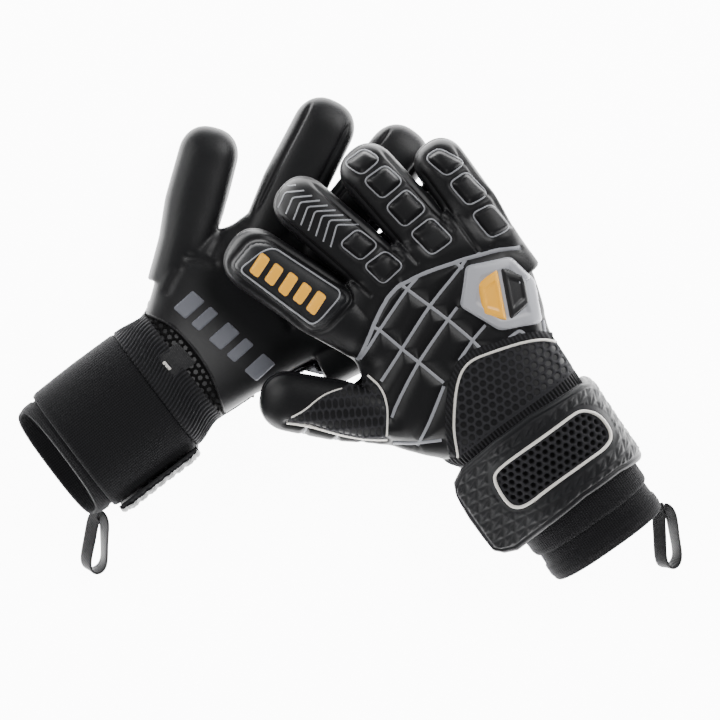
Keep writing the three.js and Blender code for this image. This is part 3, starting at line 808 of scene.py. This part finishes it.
def patchPieces(glove):
    side, face = glove["side"], glove["face"]
    finger = glove["fingers"]["index"]
    outline = roundCorners(onFinger(finger, patchCorners), 4.5)

    def patchHeight(plan, depth):
        return 2.6 * (1 - np.exp(-(depth / 1.5) ** 1.4)) + 0.25 * ease(3, 9, depth)

    obj = finishPiece(f"{side}_finger_patch_pad", glove, *patchOn(glove, outline, 1.1, face, patchHeight),
                      "strapLatex", "patch", fold="index")
    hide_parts(f"{side}_finger_patch")
    inner = roundCorners(onFinger(finger, insetOf(patchCorners, 2.2)), 3.2)
    finishPiece(f"{side}_patch_rim", glove, *ribbonOn(glove, inner, 0.95, 0.3, face, True, 0.9, lift=2.62),
                "printThin", "silicone", fold="index")
    parts = []

    def barHeight(plan, depth):
        return 2.85 + 0.55 * (1 - np.exp(-depth / 0.5))

    for k, d in enumerate(patchBars["starts"]):
        wide = patchBars["half"] - (patchBars["shorter"] if k % 2 else 0)
        far = d + patchBars["length"]
        first, second = patchBars["shifts"]
        near = wide * patchBars["inner"]
        corners = [(d, first - wide), (far, second - wide), (far, second + near), (d, first + near)]
        corners = onFinger(finger, corners)
        parts.append(patchOn(glove, roundCorners(corners, 1.4), 1.0, face, barHeight, -2.3))
    finishPiece(f"{side}_patch_bars", glove, *joined(parts), "goldRubber", "patch", fold="index")


# The corners of an outline moved inwards by a margin.
def insetOf(corners, margin):
    corners = np.asarray(corners, float)
    centre = corners.mean(0)
    away = corners - centre
    return centre + away * (1 - margin / np.maximum(np.abs(away).min(1, keepdims=True) + 4, 6))


def badgePieces(glove):
    side, face = glove["side"], glove["face"]
    outline = roundCorners(badgeOutline, 3)
    field = roundCorners(insetOf(badgeOutline, 4.2), 2)

    def plate(plan, depth):
        inner = depthIn(plan, field)
        return 2.7 * (1 - np.exp(-(depth / 0.9) ** 1.5)) - 0.9 * ease(0, 1.6, inner)

    obj = finishPiece(f"{side}_badge_plate", glove, *patchOn(glove, outline, 0.9, face, plate),
                      "paleRubber", "silicone")
    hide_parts(f"{side}_badge")
    centre = np.array(badgeOutline).mean(0)
    turn = math.radians(-24)
    spin = np.array([[math.cos(turn), math.sin(turn)], [-math.sin(turn), math.cos(turn)]])
    # A plain emblem: the two halves of a six-sided shape, parted by a slit.
    halves = {
        "gold": [(-0.9, 15.5), (-13.6, 8.6), (-13.6, -8.6), (-0.9, -15.5)],
        "dark": [(0.9, 15.5), (13.6, 8.6), (13.6, -8.6), (0.9, -15.5)],
    }
    for tone, corners in halves.items():
        body = roundCorners(centre + np.array(corners) @ spin, 0.8)
        inset = body.mean(0) + (body - body.mean(0)) * 0.6

        def relief(spots, depth, inset=inset):
            dome = 1.75 + 1.5 * (1 - np.exp(-(depth / 0.7) ** 1.4))
            return dome - 0.7 * ease(0, 0.9, depthIn(spots, inset))

        finishPiece(f"{side}_emblem_{tone}", glove, *patchOn(glove, body, 0.8, face, relief, -1.2),
                    tone + "Rubber", "silicone")


nets = {
    "wrist": {"level": 0.75, "holes": (5.0, 1.75), "deep": 1.5, "margin": (0.8, 2.2)},
    "left": {"level": 0.6, "holes": (3.6, 1.35, 1.9, 0.6), "deep": 1.4, "margin": (0.6, 1.8)},
    "right": {"level": 0.6, "holes": (3.6, 1.35, 1.9, math.radians(-30)), "deep": 1.4, "margin": (0.6, 1.8)},
    "palm": {"level": 0.7, "holes": (4.2, 1.45), "deep": 1.3, "margin": (0.4, 1.4)},
}


# Heights over the skin: a net of holes that stops short of the sheet's edge, or one level all over.
def netHeight(given):
    def height(plan, depth):
        net = holes(plan, *given["holes"], depth=given["deep"])
        return given["level"] + net * ease(*given["margin"], depth)
    return height


def flatHeight(level):
    def height(plan, depth):
        return level + 0 * depth
    return height


def meshPieces(glove):
    side, face = glove["side"], glove["face"]
    arch = soften(wristArch)
    outline = np.vstack([arch, [(40, 4), (7.4, 5), (-15, 5), (-42, 3)]])
    sheet = patchOn(glove, outline, 0.62, face, netHeight(nets["wrist"]))
    # Painted shade: the stored mask darkens the net's colour in its holes.
    obj = finishPiece(f"{side}_wrist_mesh_sheet", glove, *sheet, "spacerMesh", "air_mesh", sunk=glove["sunk"])
    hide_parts(f"{side}_wrist_mesh")
    finishPiece(f"{side}_wrist_binding", glove, *ribbonOn(glove, offsetLine(arch, 2.6), 5.2, 0.9, face),
                "ribKnit", "knit")
    obj = finishPiece(f"{side}_wrist_cord", glove, *ribbonOn(glove, arch, 1.7, 1.0, face, roundTop=True),
                      "cord", "piping")
    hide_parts(f"{side}_wrist_piping")
    if side == "right":
        outline = np.vstack([thumbTop[::-1], thumbEdge[::-1], soften(thumbSeam[::-1])])
    else:
        outline = onFinger(glove["fingers"]["thumb"], [(2, -6), (40, -7), (46, -2), (44, 8), (2, 9)])
    sheet = patchOn(glove, outline, 0.62, face, netHeight(nets[side]))
    # Painted shade: the stored mask darkens the net's colour in its holes.
    obj = finishPiece(f"{side}_thumb_mesh_sheet", glove, *sheet, "spacerMesh", "air_mesh", fold="thumb",
                      sunk=glove["sunk"])
    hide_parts(f"{side}_thumb_mesh")
    if side == "right":
        parts = [ribbonOn(glove, soften(thumbEdge), 1.3, 0.8, face, roundTop=True),
                 ribbonOn(glove, soften(thumbTop), 1.0, 0.7, face, roundTop=True)]
        finishPiece(f"{side}_thumb_cord", glove, *joined(parts), "cord", "piping", fold="thumb")
        tape = ribbonOn(glove, soften(thumbSeam), 2.8, 0.9, face)
        finishPiece(f"{side}_thumb_tape", glove, *tape, "cord", "piping", fold="thumb")
        parts = [ribbonOn(glove, cut, 1.6, 0.35, face) for cut in thumbCuts]
        finishPiece(f"{side}_thumb_lines", glove, *joined(parts), "printGrey", "silicone", fold="thumb")


# A line in plan moved sideways, to the left of its heading.
def offsetLine(line, margin):
    line = np.asarray(line, float)
    ahead = np.gradient(line, axis=0)
    ahead /= np.maximum(np.linalg.norm(ahead, axis=1, keepdims=True), 1e-9)
    return line + margin * np.stack([-ahead[:, 1], ahead[:, 0]], 1)


for side, glove in gloves.items():
    skinPieces(glove)
    greyLines(glove)
    patchPieces(glove)
    badgePieces(glove)
    meshPieces(glove)
    print("pieces", side)


# The wrist's section at y, blended from the cuff into the hand.
def sectionAt(glove, y):
    cuff = glove["cuff"]
    t = float(ease(-14, 4, y))
    left, right, low, high = handRow(glove, max(y, 4))
    own = (0.0, cuff["half"], cuff["low"], cuff["high"])
    other = ((left + right) / 2, (right - left) / 2, low, high)
    return [a + (b - a) * t for a, b in zip(own, other)]


# A closed tube round the wrist: its profile walks along the outside and comes back inside the wall.
def tubeOn(glove, y0, y1, outer, wall, slant=0.0, flare=0.0, step=1.0, turns=300, shape=None):
    rows = max(int(abs(y1 - y0) / step), 4)
    walk = [(t, 0.0) for t in np.linspace(0, 1, rows)] + [(1.0, 0.5)]
    walk += [(t, 1.0) for t in np.linspace(1, 0, rows // 3 + 2)] + [(0.0, 0.5)]
    angles = np.linspace(0, 2 * np.pi, turns, endpoint=False)
    low, high = glove["cuff"]["low"], glove["cuff"]["high"]
    rings, texture = [], []
    for share, depth in walk:
        mid = y0 + (y1 - y0) * share
        centre, half, lo, hi = sectionAt(glove, mid)
        extra = outer - wall * depth + flare * max(0, 1 - share * 3)
        ring = rim(half, lo, hi, angles, centre)
        ahead = np.roll(ring, -1, axis=0) - np.roll(ring, 1, axis=0)
        out = np.stack([ahead[:, 1], -ahead[:, 0]], 1)
        out /= np.linalg.norm(out, axis=1, keepdims=True)
        around = np.concatenate([[0], np.cumsum(np.linalg.norm(np.diff(ring, axis=0), axis=1))])
        shift = (-0.9 if share < 0.5 else 0.9) * (1 if depth == 0.5 else 0)
        y = np.full(turns, mid + shift * wall * 0.5)
        y += slant * (1 - share) * (ring[:, 1] - low) / (high - low)
        if shape is not None and depth == 0:
            extra = extra + shape(around, y, share)
        ring = ring + out * np.reshape(extra, (-1, 1) if np.ndim(extra) else (1, 1))
        rings.append(np.stack([ring[:, 0], y, ring[:, 1]], 1))
        texture.append(np.stack([around, y, np.zeros(turns)], 1))
    rings, texture = np.array(rings), np.array(texture)
    count = len(rings)
    faces = []
    for s in range(count):
        a, b = s * turns, ((s + 1) % count) * turns
        faces += [(b + i, b + (i + 1) % turns, a + (i + 1) % turns, a + i) for i in range(turns)]
    return rings.reshape(-1, 3), faces, texture.reshape(-1, 3)


def cuffPieces(glove):
    side, cuff = glove["side"], glove["cuff"]
    flare = cuff["hemHalf"] - cuff["half"] + 2.7

    def hem(around, y, share):
        fold = 0.9 * float(ease(0, 0.05, share)) * (1 - float(ease(0.105, 0.125, share)))
        return fold + 0.5 * np.sin(around / 21) * (1 - share)

    def ribs(around, y, share):
        return 0.35 * np.sin(around * 2 * math.pi / 2.3) * math.sin(math.pi * share)

    def band(around, y, share):
        edge = 0.45 * (float(ease(0, 0.03, share)) - 1) + 0.45 * (float(ease(0, 0.03, 1 - share)) - 1)
        return edge + 0.25 * np.sin(around / 17 + share * 2.2) + 0.25 * np.sin(around / 29 - share * 4)

    points, faces, texture = tubeOn(glove, hemY, -14, -2.4, 2.2, cuff["slant"], flare, 0.9, 300, hem)
    obj = finishPiece(f"{side}_cuff_knit", glove, points, faces, "bandKnit", "knit", texture)
    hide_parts(f"{side}_cuff_sleeve")
    points, faces, texture = tubeOn(glove, -72, -15, 0.2, 2.2, 0, 0, 0.9, 300, band)
    obj = finishPiece(f"{side}_band_knit", glove, points, faces, "bandKnit", "knit", texture)
    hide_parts(f"{side}_strap_band")
    points, faces, texture = tubeOn(glove, -13.5, 6.5, 0.5, 2.0, 0, 0, 0.7, 600, ribs)
    obj = finishPiece(f"{side}_elastic_knit", glove, points, faces, "ribKnit", "knit", texture)
    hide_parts(f"{side}_wrist_elastic")


tab = {
    "top": ([-57.9, -56.6, -53.6, -46, -21.6, 4.1, 27.6, 37.8, 42.1],
            [-31, -14.4, -7.6, -2.7, 1.7, 2.6, 0, -1.5, -4.6]),
    "bottom": ([-57.9, -57.2, -52.8, -45.6, -24.6, 3.1, 27.8, 47.2],
               [-31, -54.1, -58.6, -61.1, -58.1, -55.6, -56.2, -61]),
    "window": [(29.9, -13.2), (36.3, -22), (36.6, -34.5), (31.5, -39.4), (14, -38.6), (-11.6, -38.7),
               (-25.3, -40.3), (-32, -38.9),
               (-35, -33.4), (-34.1, -19.3), (-30.7, -14.2), (-19.2, -12.3), (6.1, -12.2), (23, -12)],
    "shift": {"left": -11, "right": 0},
    "slack": {"left": 16.5, "right": 0},
}


# The curve in (x, z) that the strap tab follows round the cuff at an offset, with its normals and its length.
def tabCurve(glove, offset):
    cuff, face = glove["cuff"], glove["face"]
    angles = np.radians(np.linspace(-20, 128, 300))
    ring = rim(cuff["half"] + offset, cuff["low"] - offset, cuff["high"] + offset, angles * face)
    heading = ring[-1] - ring[-4]
    heading /= np.linalg.norm(heading)
    aim = np.array([-0.93, -0.37 * face])
    tail, at, way = [], ring[-1], heading
    while at[0] > -58.4 + tab["slack"][glove["side"]]:
        way = way * 0.9 + aim * 0.1
        way /= np.linalg.norm(way)
        at = at + way * 1.0
        tail.append(at)
    curve = resample(np.vstack([ring, tail]), 0.62)
    ahead = np.gradient(curve, axis=0)
    ahead /= np.linalg.norm(ahead, axis=1, keepdims=True)
    normal = np.stack([ahead[:, 1], -ahead[:, 0]], 1) * face
    length = np.concatenate([[0], np.cumsum(np.linalg.norm(np.diff(curve, axis=0), axis=1))])
    return curve, normal, length


# Three-sided pyramids in rows that point up and down by turns.
def pyramids(u, v, size):
    a = u / size
    b = v / (size * 0.866)
    x = (a + 0.5 * b) % 1
    y = b % 1
    inLower = x + y < 1
    first = np.minimum(np.minimum(x, y), 1 - x - y)
    second = np.minimum(np.minimum(1 - x, 1 - y), x + y - 1)
    return np.where(inLower, first, second) * 3


def tabPieces(glove):
    side, face = glove["side"], glove["face"]
    shift = tab["shift"][side]
    curve, normal, length = tabCurve(glove, 5.2)
    x = curve[:, 0]
    reach = x - tab["slack"][side] * np.clip((20 - x) / 61.4, 0, 1)
    high = np.interp(reach, *tab["top"]) + shift
    low = np.interp(reach, *tab["bottom"]) + shift
    across = np.linspace(0, 1, 104)
    spread = 0.5 - 0.5 * np.cos(np.pi * across)
    spread = 0.75 * across + 0.25 * spread
    y = low[:, None] + (high - low)[:, None] * spread[None, :]
    plan = np.stack([np.repeat(x[:, None], len(across), 1), y], 2).reshape(-1, 2)
    along = np.repeat(length[:, None], len(across), 1).reshape(-1)
    window = soften(np.array(tab["window"]) + [0, shift], True, 2)
    depth = depthIn(plan, window)
    depth = np.where(along < 26, -30, depth)
    edge = np.minimum(np.minimum(plan[:, 1] - np.repeat(low, len(across)),
                                 np.repeat(high, len(across)) - plan[:, 1]), length[-1] - along)
    edge = np.maximum(edge, 0)
    relief = 0.95 * pyramids(along, plan[:, 1] + 3 * np.sin(along / 30), 7.6)
    relief = relief * ease(3.4, 4.6, edge) * ease(3.0, 4.2, -depth)
    height = 1.4 * (1 - np.exp(-(edge / 1.1) ** 1.3)) - 0.5 * np.exp(-((edge - 3.2) / 0.6) ** 2) + relief
    height += 0.35 * np.sin(along / 13 + plan[:, 1] / 15)
    inside = depth > -0.6
    net = holes(np.stack([along, plan[:, 1]], 1), 4.7, 1.7, depth=1.6) * ease(1.2, 2.4, depth)
    height = np.where(depth > 0, 0.3 + net, height)
    base = np.concatenate([curve, normal], 1)
    here = np.repeat(base[:, None, :], len(across), 1).reshape(-1, 4)
    upper = np.stack([here[:, 0] + here[:, 2] * height, plan[:, 1], here[:, 1] + here[:, 3] * height], 1)
    under = np.stack([here[:, 0] - here[:, 2] * 1.7, plan[:, 1], here[:, 1] - here[:, 3] * 1.7], 1)
    n, m = len(x), len(across)
    texture = np.stack([along, plan[:, 1], np.zeros(len(along))], 1)
    index = np.arange(n * m).reshape(n, m)
    quads = np.stack([index[:-1, :-1], index[:-1, 1:], index[1:, 1:], index[1:, :-1]], 2).reshape(-1, 4)
    if face < 0:
        quads = quads[:, ::-1]
    middle = inside[quads].all(1)
    underStart = n * m
    border = np.concatenate([index[0, :], index[1:, -1], index[-1, -2::-1], index[-2:0:-1, 0]])
    ring = [(a, b, b + underStart, a + underStart) for a, b in zip(border, np.roll(border, -1))]
    if face < 0:
        ring = [r[::-1] for r in ring]
    shell = [tuple(q) for q in quads[~middle]] + [tuple(q[::-1] + underStart) for q in quads] + ring
    points = np.vstack([upper, under])
    textures = np.vstack([texture, texture])
    obj = finishPiece(f"{side}_tab_latex", glove, points, shell, "strapLatex", "strap_latex", textures,
                      body="strap")
    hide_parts(f"{side}_strap_tab")
    part, cut, used = cutOut(upper, quads, middle)
    # Painted shade: the net's colour is darkened in its holes by a mask from 0 at the bottom to 1 on top.
    obj = finishPiece(f"{side}_tab_net", glove, part, cut, "spacerMesh", "air_mesh", texture[used],
                      body="strap", sunk=1 + net[used] / 1.6)
    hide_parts(f"{side}_tab_mesh")

    order = np.argsort(x)
    onTop = order[length[order] > 22]
    spots = resample(window, 1.0, True)
    values = [np.interp(spots[:, 0], x[onTop], base[onTop, k]) for k in range(4)]
    places = np.stack([values[0], spots[:, 1], values[1]], 1)
    normals = np.stack([values[2], np.zeros(len(spots)), values[3]], 1)
    points, faces = cordAlong(places + normals * 1.1, 0.95, closed=True)
    obj = finishPiece(f"{side}_tab_cord", glove, points, faces, "cord", "piping", body="strap")
    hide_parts(f"{side}_tab_piping")
    for name, offset, slotName, body in (("hook", 2.1, "hook_loop", "strap"),
                                         ("loop", 0.9, "hook_loop", "hand")):
        arc, out, run = tabCurve(glove, offset)
        chosen = (run > 44) & (run < 92 - (3 if name == "loop" else 0))
        arc, out, run = arc[chosen], out[chosen], run[chosen]
        rows = np.linspace(-55 + shift, -6 + shift, 40)
        grid = []
        for lift in (0.5, -0.5):
            layer = [np.repeat((arc[:, 0] + out[:, 0] * lift)[:, None], 40, 1),
                     np.repeat(rows[None, :], len(arc), 0),
                     np.repeat((arc[:, 1] + out[:, 1] * lift)[:, None], 40, 1)]
            grid.append(np.stack(layer, 2).reshape(-1, 3))
        index = np.arange(len(arc) * 40).reshape(len(arc), 40)
        quads = np.stack([index[:-1, :-1], index[:-1, 1:], index[1:, 1:], index[1:, :-1]], 2).reshape(-1, 4)
        border = np.concatenate([index[0, :], index[1:, -1], index[-1, -2::-1], index[-2:0:-1, 0]])
        underStart = len(arc) * 40
        ring = [(b, a, a + underStart, b + underStart) for a, b in zip(border, np.roll(border, -1))]
        faces = [tuple(q) for q in quads] + [tuple(q[::-1] + underStart) for q in quads] + ring
        if face < 0:
            faces = [f[::-1] for f in faces]
        obj = finishPiece(f"{side}_{name}_strip", glove, np.vstack(grid), faces, "fuzz", slotName, body=body)
        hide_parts(f"{side}_{name}_pad")


# A round cord through points in space.
def cordAlong(line, radius, closed=False, sides=10, flat=None):
    line = np.asarray(line, float)
    ahead = np.roll(line, -1, axis=0) - np.roll(line, 1, axis=0)
    if not closed:
        ahead[0], ahead[-1] = line[1] - line[0], line[-1] - line[-2]
    ahead /= np.linalg.norm(ahead, axis=1, keepdims=True)
    up = np.array([0.0, 0.0, 1.0]) if flat is None else flat
    across = np.cross(ahead, up)
    across /= np.linalg.norm(across, axis=1, keepdims=True)
    over = np.cross(across, ahead)
    angles = np.linspace(0, 2 * np.pi, sides, endpoint=False)
    wide, tall = radius if isinstance(radius, tuple) else (radius, radius)
    power = 0.55 if isinstance(radius, tuple) else 1.0

    def squared(v):
        return np.sign(v) * np.abs(v) ** power

    rings = np.stack([line + across * (wide * squared(math.cos(a))) + over * (tall * squared(math.sin(a)))
                      for a in angles], 1)
    count = len(line)
    faces = []
    for i in range(count if closed else count - 1):
        k = (i + 1) % count
        faces += [(i * sides + j, k * sides + j, k * sides + (j + 1) % sides,
                   i * sides + (j + 1) % sides) for j in range(sides)]
    if not closed:
        faces += [tuple(range(sides)), tuple(range((count - 1) * sides, count * sides))[::-1]]
    faces = [f[::-1] for f in faces]
    return rings.reshape(-1, 3), faces


pullLoops = {
    "left": {"at": (38.5, -84, 22), "direction": (0.713, -0.7), "droop": 26},
    "right": {"at": (38, -95, 21), "direction": (-0.443, -0.896), "droop": 12},
}


# A folded strip of webbing that hangs from the hem as a long narrow loop.
def loopPiece(glove):
    side = glove["side"]
    given = pullLoops[side]
    heading = np.array([*given["direction"], 0.0])
    heading /= np.linalg.norm(heading)
    sideways = np.array([heading[1], -heading[0], 0])
    droop = math.radians(given["droop"])
    ahead = heading * math.cos(droop) - np.array([0, 0, math.sin(droop)])
    rise = np.cross(ahead, sideways)
    track = []
    for t in np.linspace(0, 1, 120, endpoint=False):
        a = 2 * math.pi * t
        d = 18.5 - 18.5 * math.cos(a)
        c = 6.6 * math.sin(a) * (0.55 + 0.45 * math.sin(a / 2) ** 2) + 0.7 * math.sin(3 * a)
        track.append(np.array(given["at"]) + ahead * d + sideways * c + rise * (1.2 * math.sin(2 * a)))
    turns = [0.95 + 0.35 * math.sin(2 * math.pi * t + 0.6) for t in np.linspace(0, 1, 120, endpoint=False)]
    twist = np.array([rise * math.cos(a) + sideways * math.sin(a) for a in turns])
    points, faces = cordAlong(track, (0.9, 3.9), closed=True, sides=16, flat=twist)
    obj = finishPiece(f"{side}_loop_webbing", glove, points, faces, "webbing", "strap_latex",
                      body="pull_loop")
    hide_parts(f"{side}_pull_loop")


palmBars = {"count": 5, "start": (-31, 22.5), "pitch": (13.3, 2.7), "lean": 11, "wide": (9.5, 6.5),
            "tall": 15, "slope": 1.5}


def labelHeight(plan, depth):
    stitching = 0.25 * np.exp(-((depth - 1.5) / 0.35) ** 2)
    return 1.9 + 0.35 * (1 - np.exp(-depth / 0.5)) - stitching


def palmPieces(glove):
    side, face = glove["side"], glove["face"]
    way = -face
    edge = soften([(-44, 6.2), (-36.2, 8.8), (-23, 16.2), (-4, 18.2), (14.7, 16.6), (30.8, 11), (37, 9)])
    zone = np.vstack([edge, [(37, 3), (14, 2.5), (-18, 2.5), (-43, 3)]])
    net = patchOn(glove, zone, 0.65, way, netHeight(nets["palm"]))
    finishPiece(f"{side}_palm_wrist_net", glove, *net, "spacerMesh", "air_mesh")
    finishPiece(f"{side}_palm_edge", glove, *ribbonOn(glove, edge, 1.6, 0.7, way), "palmLatex", "latex_palm")
    outline = roundCorners([(-13.8, -4.5), (1.6, -3), (2.2, 13.5), (-13.6, 12)], 0.8)
    obj = finishPiece(f"{side}_label_patch", glove, *patchOn(glove, outline, 0.9, way, labelHeight, 0.3),
                      "labelKnit", "label")
    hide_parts(f"{side}_label_tab")
    mark = roundCorners([(-9.5, -1.5), (-3.5, -0.9), (-3.2, 0.9), (-9.2, 0.4)], 0.5)
    finishPiece(f"{side}_label_mark", glove,
                *patchOn(glove, mark, 0.7, way, flatHeight(2.4), -2.0), "cord", "label")
    parts = []
    lean, slope, tall = math.radians(palmBars["lean"]), palmBars["slope"], palmBars["tall"]
    for k in range(palmBars["count"]):
        x, y = [start + pitch * k for start, pitch in zip(palmBars["start"], palmBars["pitch"])]
        wide = palmBars["wide"][k % 2]
        corners = np.array([(0, 0), (wide, 0), (wide + slope, tall), (slope, tall)])
        turned = corners @ np.array([[math.cos(lean), math.sin(lean)],
                                     [-math.sin(lean), math.cos(lean)]]) + [x, y]
        parts.append(patchOn(glove, roundCorners(turned, 0.9), 1.1, way, flatHeight(0.1), 0.2))
    finishPiece(f"{side}_palm_print", glove, *joined(parts), "printDull", "latex_palm")


for side, glove in gloves.items():
    cuffPieces(glove)
    tabPieces(glove)
    loopPiece(glove)
    palmPieces(glove)
    print("cuff", side)

studio = {
    "floor": {"half": 3, "height": -0.0006, "color": (0.93, 0.93, 0.93), "glow": 11.0},
    "world": 0.12,
    "lights": [
        {"name": "key", "at": (0.75, 0.7, 0.95), "size": 0.7, "power": 17},
        {"name": "fill", "at": (-0.95, 0.35, 0.8), "size": 0.7, "power": 9},
        {"name": "back", "at": (-0.1, -1.0, 0.7), "size": 0.6, "power": 6},
    ],
    "camera": {"beside": (0.1069, 0.0084), "height": 2.4, "lens": 205.3, "sensor": 36},
}

given = studio["floor"]
floorMaterial = bpy.data.materials.new("floorWhite")
floorMaterial.use_nodes = True
floorShader = next(n for n in floorMaterial.node_tree.nodes if n.type == "BSDF_PRINCIPLED")
floorShader.inputs["Base Color"].default_value = (*given["color"], 1)
floorShader.inputs["Roughness"].default_value = 0.9
floorShader.inputs["Emission Color"].default_value = (1, 1, 1, 1)
floorShader.inputs["Emission Strength"].default_value = given["glow"]
corners = [(x * given["half"], y * given["half"], given["height"]) for x,
           y in ((-1, -1), (1, -1), (1, 1), (-1, 1))]
floor = bpy.data.objects.new("floor", meshFrom("floor", corners, [(0, 1, 2, 3)]))
floor.data.materials.append(floorMaterial)
bpy.context.scene.collection.objects.link(floor)

world = bpy.data.worlds.new("studio")
world.use_nodes = True
world.node_tree.nodes["Background"].inputs["Color"].default_value = (1, 1, 1, 1)
world.node_tree.nodes["Background"].inputs["Strength"].default_value = studio["world"]
bpy.context.scene.world = world
for given in studio["lights"]:
    data = bpy.data.lights.new(given["name"], "AREA")
    data.size, data.energy = given["size"], given["power"]
    lamp = bpy.data.objects.new(given["name"], data)
    lamp.location = given["at"]
    lamp.rotation_euler = (-Vector(given["at"])).to_track_quat("-Z", "Y").to_euler()
    bpy.context.scene.collection.objects.link(lamp)

# The camera looks straight down at the pair.
given = studio["camera"]
aim = gloves["left"]["shift"][:2] / 1000 + np.array(given["beside"])
cameraData = bpy.data.cameras.new("camera")
cameraData.sensor_width, cameraData.lens = given["sensor"], given["lens"]
camera = bpy.data.objects.new("camera", cameraData)
camera.location = (aim[0], aim[1], given["height"])
camera.rotation_euler = (0, 0, 0)
bpy.context.scene.collection.objects.link(camera)
bpy.context.scene.camera = camera
print("studio", len(studio["lights"]), "lights")
